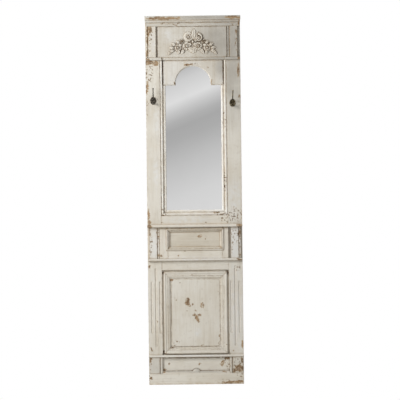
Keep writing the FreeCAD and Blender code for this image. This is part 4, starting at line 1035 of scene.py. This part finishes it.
# %% Paint the middle and the foot
dress(["arch_board"], painted(
    "painted_arch", UPRIGHT,
    patches=[(-34, 1733, 13, 6), (-14, 1736, 15, 4), (-97, 1633, 9, 11), (98, 1638, 6, 12),
             (118, 1623, 20, 3)],
    flakes=[(20, 1738, 20, 6)],
    painted_shade=[(165, 1720, 50, 60)],
    joints=[(-108, 1622, 18, 6)],
    wax_and_shade=0.2, tan_and_shade=0.4, cream=(0.69, 0.67, 0.625, 1)))
dress(["sight_moulding_left", "sight_moulding_right", "sight_moulding_bottom"], painted(
    "painted_sight", UPRIGHT,
    patches=[(120, 930, 14, 5), (146, 922, 7, 5), (-175, 918, 7, 6)],
    flakes=[(150, 920, 25, 14), (-168, 930, 14, 24), (165, 1440, 8, 60), (166, 1100, 8, 60)],
    joints=[(-164, 1690, 6, 80), (166, 1690, 6, 80)],
    # lighter paint here is painted light against the shade in the grooves
    wax_and_shade=0.02, tan_and_shade=0.2, wear=0.7, shut=(0.4, 0.1), light_and_tone=1.2, cream=(0.70, 0.68, 0.635, 1)))
dress(["mirror_rail", "shelf", "apron_rail_top", "apron_rail_bottom", "apron_ledge"], painted(
    "painted_shelf", LYING,
    patches=[(-248, 860, 16, 9), (247, 860, 18, 11), (-90, 700, 5, 3), (240, 676, 16, 6)],
    flakes=[(190, 900, 60, 24), (-200, 875, 40, 8)],
    # the strip under the shelf is painted light over the shelf's shadow
    pale=[(0, 676, 250, 14), (-40, 890, 150, 24), (0, 846, 200, 9)],
    wax_and_shade=0.2, tan_and_shade=0.4, cream=(0.72, 0.675, 0.59, 1)))
dress(["apron_panel", "apron_moulding_top", "apron_moulding_bottom"], painted(
    "painted_apron_panel", LYING,
    patches=[(25, 804, 13, 7), (26, 805, 7, 8)],
    joints=[(-147, 786, 6, 50)],
    light_and_tone=0.9, wax_and_shade=0.3, tan_and_shade=0.8, shut=(0.85, 0.3), cream=(0.70, 0.64, 0.535, 1)))
dress(["apron_stile_left", "apron_stile_right", "apron_moulding_left", "apron_moulding_right"], painted(
    "painted_apron_frame", UPRIGHT,
    patches=[(-186, 700, 6, 7)],
    joints=[(187, 770, 9, 80), (-147, 786, 8, 50), (147, 786, 6, 50)],
    light_and_tone=0.98, tan_and_shade=0.8, shut=(0.9, 0.35), cream=(0.71, 0.66, 0.575, 1)))
dress(["apron_casing_left", "apron_casing_right"], painted(
    "painted_apron_casings", UPRIGHT,
    patches=[(-245, 828, 6, 24), (245, 820, 6, 32), (245, 702, 4, 13), (-198, 700, 5, 7)],
    flakes=[(-244, 770, 10, 90), (-199, 800, 9, 60), (222, 815, 30, 40), (246, 740, 7, 70),
            (200, 770, 5, 60)],
    pale=[(-222, 770, 18, 100), (218, 760, 26, 90)],
    joints=[(190, 770, 6, 80)],
    cream=(0.72, 0.70, 0.655, 1)))
dress(["door_panel", "panel_moulding_left", "panel_moulding_right"], painted(
    "painted_door", UPRIGHT,
    patches=[(-43, 450, 13, 20), (-33, 432, 8, 9), (-16, 437, 4, 6), (30, 430, 4, 12), (39, 428, 4, 14),
             (-10, 374, 8, 6), (20, 374, 9, 6), (4, 362, 10, 9), (12, 348, 8, 12), (-47, 402, 3, 3),
             (0, 400, 3, 3), (128, 261, 3, 5), (122, 225, 3, 4), (-130, 569, 8, 8), (-130, 203, 5, 5)],
    flakes=[(-108, 225, 16, 16), (-130, 205, 10, 12)],
    pale=[(8, 285, 18, 26)],
    joints=[(173, 606, 9, 14), (-173, 608, 7, 9), (-173, 176, 8, 10), (-130, 568, 7, 9),
            (-130, 206, 7, 8), (-134, 420, 4, 150), (0, 205, 140, 4)],
    wax_and_shade=0.02, tan_and_shade=0.2, shut=(0.8, 0.25), wear=1.8))
dress(["lock_rail", "base_rail", "panel_moulding_top", "panel_moulding_bottom"], painted(
    "painted_door_rails", LYING,
    patches=[(-128, 570, 7, 5), (-165, 175, 6, 6), (142, 113, 11, 11), (17, 108, 6, 5), (-147, 113, 6, 5),
             (172, 140, 10, 6), (-176, 82, 8, 9)],
    flakes=[(-130, 205, 12, 8), (168, 132, 34, 18), (176, 100, 10, 30)],
    joints=[(-128, 205, 14, 5), (150, 148, 40, 8), (0, 78, 210, 10), (0, 147, 190, 7)],
    wax_and_shade=0.02, tan_and_shade=0.2, shut=(0.8, 0.25), wear=1.8))
dress(["base_ledge", "plinth_rail"], painted(
    "painted_plinth", LYING,
    patches=[(180, 8, 40, 7), (230, 10, 26, 8), (-246, 35, 8, 9), (150, 66, 8, 4), (-176, 68, 9, 5)],
    flakes=[(190, 12, 70, 12), (-247, 40, 9, 22), (235, 45, 16, 20)],
    pale=[(0, 154, 250, 20)],
    painted_shade=[(0, 69, 240, 7), (0, 79, 20, 9)],
    joints=[(0, 74, 180, 7)],
    wax_and_shade=0.3, light_and_tone=1.04))
dress(["plinth_block_left"], painted(
    "painted_block_left", UPRIGHT,
    patches=[(-247, 136, 9, 14)],
    flakes=[(-249, 110, 8, 40)],
    joints=[(-250, 95, 7, 40)],
    light_and_tone=0.85))
dress(["plinth_block_right"], painted(
    "painted_block_right", UPRIGHT,
    patches=[(232, 84, 22, 19), (206, 74, 12, 10), (250, 130, 8, 16)],
    flakes=[(224, 105, 40, 50), (224, 105, 34, 44)],
    joints=[(186, 105, 7, 40)],
    light_and_tone=0.9))

# %% [markdown]
# ## Mirror, plywood and rubber
# The mirror is silvered glass: a metal surface that is almost smooth and a touch cloudy in places.
# Plywood is pale grain, and rubber is a dull dark grey with a faint bloom.

# %% Mirror, plywood and rubber
silver, tree, surface = new_material("silvered_glass")
haze = noise(tree, own_place(tree), 9.0, 4.0, 0.6)
feed(tree, surface, {"Base Color": blend(tree, haze, (0.93, 0.93, 0.93, 1), (0.90, 0.90, 0.90, 1)),
                     "Roughness": times(tree, ramp(tree, haze, 0.4, 0.8), 0.05), "Metallic": 1.0})
dress(["mirror_glass"], silver)

ply, tree, surface = new_material("plywood_sheet")
sheet = use_group(tree, grain, {"Place": own_place(tree), "Along": (25.0, 25.0, 1.5),
                                "Light": (0.52, 0.37, 0.22, 1), "Dark": (0.36, 0.23, 0.12, 1)})
feed(tree, surface, {"Base Color": sheet["Colour"],
                     "Roughness": plus(tree, 0.6, times(tree, sheet["Height"], 0.3))})
add_relief(tree, surface, sheet["Height"], 0.4, 0.4 * MM)
dress(["mirror_backing"], ply)

rubber, tree, surface = new_material("soft_rubber")
bloom = noise(tree, own_place(tree), 160.0, 3.0, 0.6)
feed(tree, surface, {"Base Color": blend(tree, bloom, (0.030, 0.029, 0.028, 1), (0.075, 0.072, 0.068, 1)),
                     "Roughness": plus(tree, 0.55, times(tree, bloom, 0.35))})
bumpers.data.materials.append(rubber)
print("mirror, plywood and rubber ready")

# %% [markdown]
# ## Old iron and zinc
# The hooks are dark cast iron with brown rust in the pores and lighter blotches and rims, partly rubbed by
# coats and hands and partly painted glints; the right one is browner. The hanger is zinc steel with a few
# dull spots. All three come from one group, which mixes clean metal, rubbed metal with painted glints, and
# rust by noise and by how near an edge is.

# %% Metal group and metals
METAL_EDGE = 1.5 * MM

metal, given, out = new_group(
    "aged_metal",
    {"Place": "vector", "Edge": "value", "Metal": "colour", "Rubbed And Glint": "colour", "Rust": "colour",
     "Rusted": "value", "Handled And Glint": "value"},
    {"Colour": "colour", "Roughness": "value", "Metallic": "value", "Height": "value"})
pores = noise(metal, given["Place"], 420.0, 4.0, 0.65)
clouds = noise(metal, given["Place"], 90.0, 4.0, 0.6)
blotches = noise(metal, given["Place"], 150.0, 2.0, 0.5)
rust = times(metal, ramp(metal, clouds, 0.42, 0.62), given["Rusted"])
# Rubbed metal and painted glints on blotches and on the rims
handled_and_glint = times(metal, ramp(metal, blotches, 0.52, 0.62), given["Handled And Glint"])
shine = most(metal, times(metal, given["Edge"], minus(metal, 1.0, rust)), handled_and_glint)
tone = blend(metal, shine, given["Metal"], given["Rubbed And Glint"])
rough = plus(metal, plus(metal, 0.26, times(metal, rust, 0.4)), times(metal, pores, 0.15))
feed(metal, out, {"Colour": blend(metal, rust, tone, given["Rust"]), "Roughness": rough,
                  "Metallic": minus(metal, 0.9, times(metal, rust, 0.75)),
                  "Height": plus(metal, times(metal, pores, 0.6), times(metal, rust, 0.4))})


def old_metal(name, tone, rubbed_and_glint, rust, rusted, handled_and_glint, depth):
    material, tree, surface = new_material(name)
    edge = ramp(tree, flatness(tree, METAL_EDGE), 0.98, 0.88)
    finish = use_group(tree, metal, {"Place": own_place(tree), "Edge": edge, "Metal": tone, "Rubbed And Glint": rubbed_and_glint,
                                     "Rust": rust, "Rusted": rusted, "Handled And Glint": handled_and_glint})
    feed(tree, surface, {"Base Color": finish["Colour"], "Roughness": finish["Roughness"],
                         "Metallic": finish["Metallic"]})
    add_relief(tree, surface, finish["Height"], 0.6, depth)
    return material


iron = old_metal("old_cast_iron", tone=(0.012, 0.011, 0.010, 1), rubbed_and_glint=(0.42, 0.38, 0.31, 1),
                 rust=(0.060, 0.038, 0.020, 1), rusted=0.4, handled_and_glint=0.7, depth=0.5 * MM)
brown_iron = old_metal("brown_cast_iron", tone=(0.014, 0.011, 0.007, 1), rubbed_and_glint=(0.42, 0.34, 0.19, 1),
                       rust=(0.085, 0.056, 0.020, 1), rusted=0.5, handled_and_glint=0.7, depth=0.5 * MM)
zinc = old_metal("zinc_steel", tone=(0.56, 0.56, 0.55, 1), rubbed_and_glint=(0.75, 0.75, 0.74, 1),
                 rust=(0.33, 0.29, 0.24, 1), rusted=0.35, handled_and_glint=0.0, depth=0.1 * MM)
for piece, coat in zip(hooks + [hook_screws], (iron, brown_iron, iron)):
    piece.data.materials.append(coat)
for piece in straps + rings + [strap_screws, backing_screws]:
    piece.data.materials.append(zinc)
print("iron and zinc ready")

# %% [markdown]
# ## Floor and background
# The floor is plain and pale and the background is white to the camera and to mirror-like rays. The
# world gives the object less light than that, so that the paint keeps its colour.

# %% Floor and background
FLOOR_HALF = 12
FLOOR_GLOW = 0.42
AMBIENT = 0.39

bm = bmesh.new()
bmesh.ops.create_grid(bm, x_segments=1, y_segments=1, size=FLOOR_HALF)
floor = new_object("floor", bm)
pale_floor, tree, surface = new_material("pale_floor")
path = shade(tree, "LightPath").outputs
glow = times(tree, most(tree, path["Is Camera Ray"], path["Is Glossy Ray"]), FLOOR_GLOW)
feed(tree, surface, {"Base Color": (0.86, 0.86, 0.85, 1), "Roughness": 0.9,
                     "Emission Color": (1, 1, 1, 1), "Emission Strength": glow})
floor.data.materials.append(pale_floor)

world = bpy.data.worlds.new("white_studio")
bpy.context.scene.world = world
world.use_nodes = True
tree = world.node_tree
path = shade(tree, "LightPath").outputs
seen = most(tree, most(tree, path["Is Camera Ray"], path["Is Glossy Ray"]), path["Is Transmission Ray"])
strength = shade(tree, "MapRange", {"Value": seen, "To Min": AMBIENT, "To Max": 1.0}).outputs[0]
feed(tree, tree.nodes["Background"], {"Color": (1, 1, 1, 1), "Strength": strength})
print("floor and background ready")

# %% [markdown]
# ## The lamp and what the mirror sees
# A large soft lamp stands to the upper left, as the shadows in the photograph say. The mirror needs
# something to show, so a large glowing card stands behind the camera, with a painted reflection in the soft
# diagonal that the photograph has in its glass; only mirror-like rays can see it.

# %% Lamp and card
LAMP_SIZE = 1.7
LAMP_POWER = 88
LAMP_PLACE = (-2.3, -2.2, 2.3)
CARD_HALF_WIDTH = 9
CARD_HALF_HEIGHT = 3
CARD_BACK = 7.0
DIAGONAL = (0.42, 0, -1)
DIAGONAL_START = -2.518
DIAGONAL_END = -0.518
# Greys of the glowing card down the diagonal: the painted reflection in the mirror
CARD_GREYS = {0.0: 0.50, 0.392: 0.54, 0.42: 0.67, 0.472: 0.79, 0.50: 0.61, 0.525: 0.475, 0.547: 0.425,
              0.58: 0.45, 0.65: 0.575, 0.74: 0.70, 0.80: 0.74, 1.0: 0.64}

lamp = bpy.data.lights.new("soft_box", "AREA")
lamp.shape = "DISK"
lamp.size = LAMP_SIZE
lamp.energy = LAMP_POWER
soft_box = bpy.data.objects.new("soft_box", lamp)
bpy.context.scene.collection.objects.link(soft_box)
soft_box.location = LAMP_PLACE
aim = Vector((0, 0, PICTURE_LEVEL)) - soft_box.location
soft_box.rotation_euler = aim.to_track_quat("-Z", "Y").to_euler()

bm = bmesh.new()
made = bmesh.ops.create_grid(bm, x_segments=1, y_segments=1, size=1)["verts"]
bmesh.ops.rotate(bm, verts=made, cent=(0, 0, 0), matrix=rotation(-90, "X"))
bmesh.ops.scale(bm, verts=made, vec=(CARD_HALF_WIDTH, 1, CARD_HALF_HEIGHT))
bmesh.ops.translate(bm, verts=made, vec=(0, -CARD_BACK, CARD_HALF_HEIGHT))
card = new_object("mirror_card", bm)
card.visible_camera = False
card.visible_diffuse = False
card.visible_shadow = False
card_glow, tree, surface = new_material("card_glow")
feeds = {"Value": dot(tree, own_place(tree), DIAGONAL), "From Min": DIAGONAL_START, "From Max": DIAGONAL_END}
greys = shade(tree, "ValToRGB", {"Fac": shade(tree, "MapRange", feeds).outputs[0]})
for index, (share, grey) in enumerate(CARD_GREYS.items()):
    stops = greys.color_ramp.elements
    stop = stops[index] if index < 2 else stops.new(share)
    stop.position = share
    stop.color = (grey, grey, grey, 1)
light = shade(tree, "Emission", {"Color": greys.outputs["Color"], "Strength": 1.0})
feed(tree, tree.nodes["Material Output"], {"Surface": light.outputs[0]})
card.data.materials.append(card_glow)
bpy.context.scene.view_settings.view_transform = "Standard"
print("lamp and card ready")
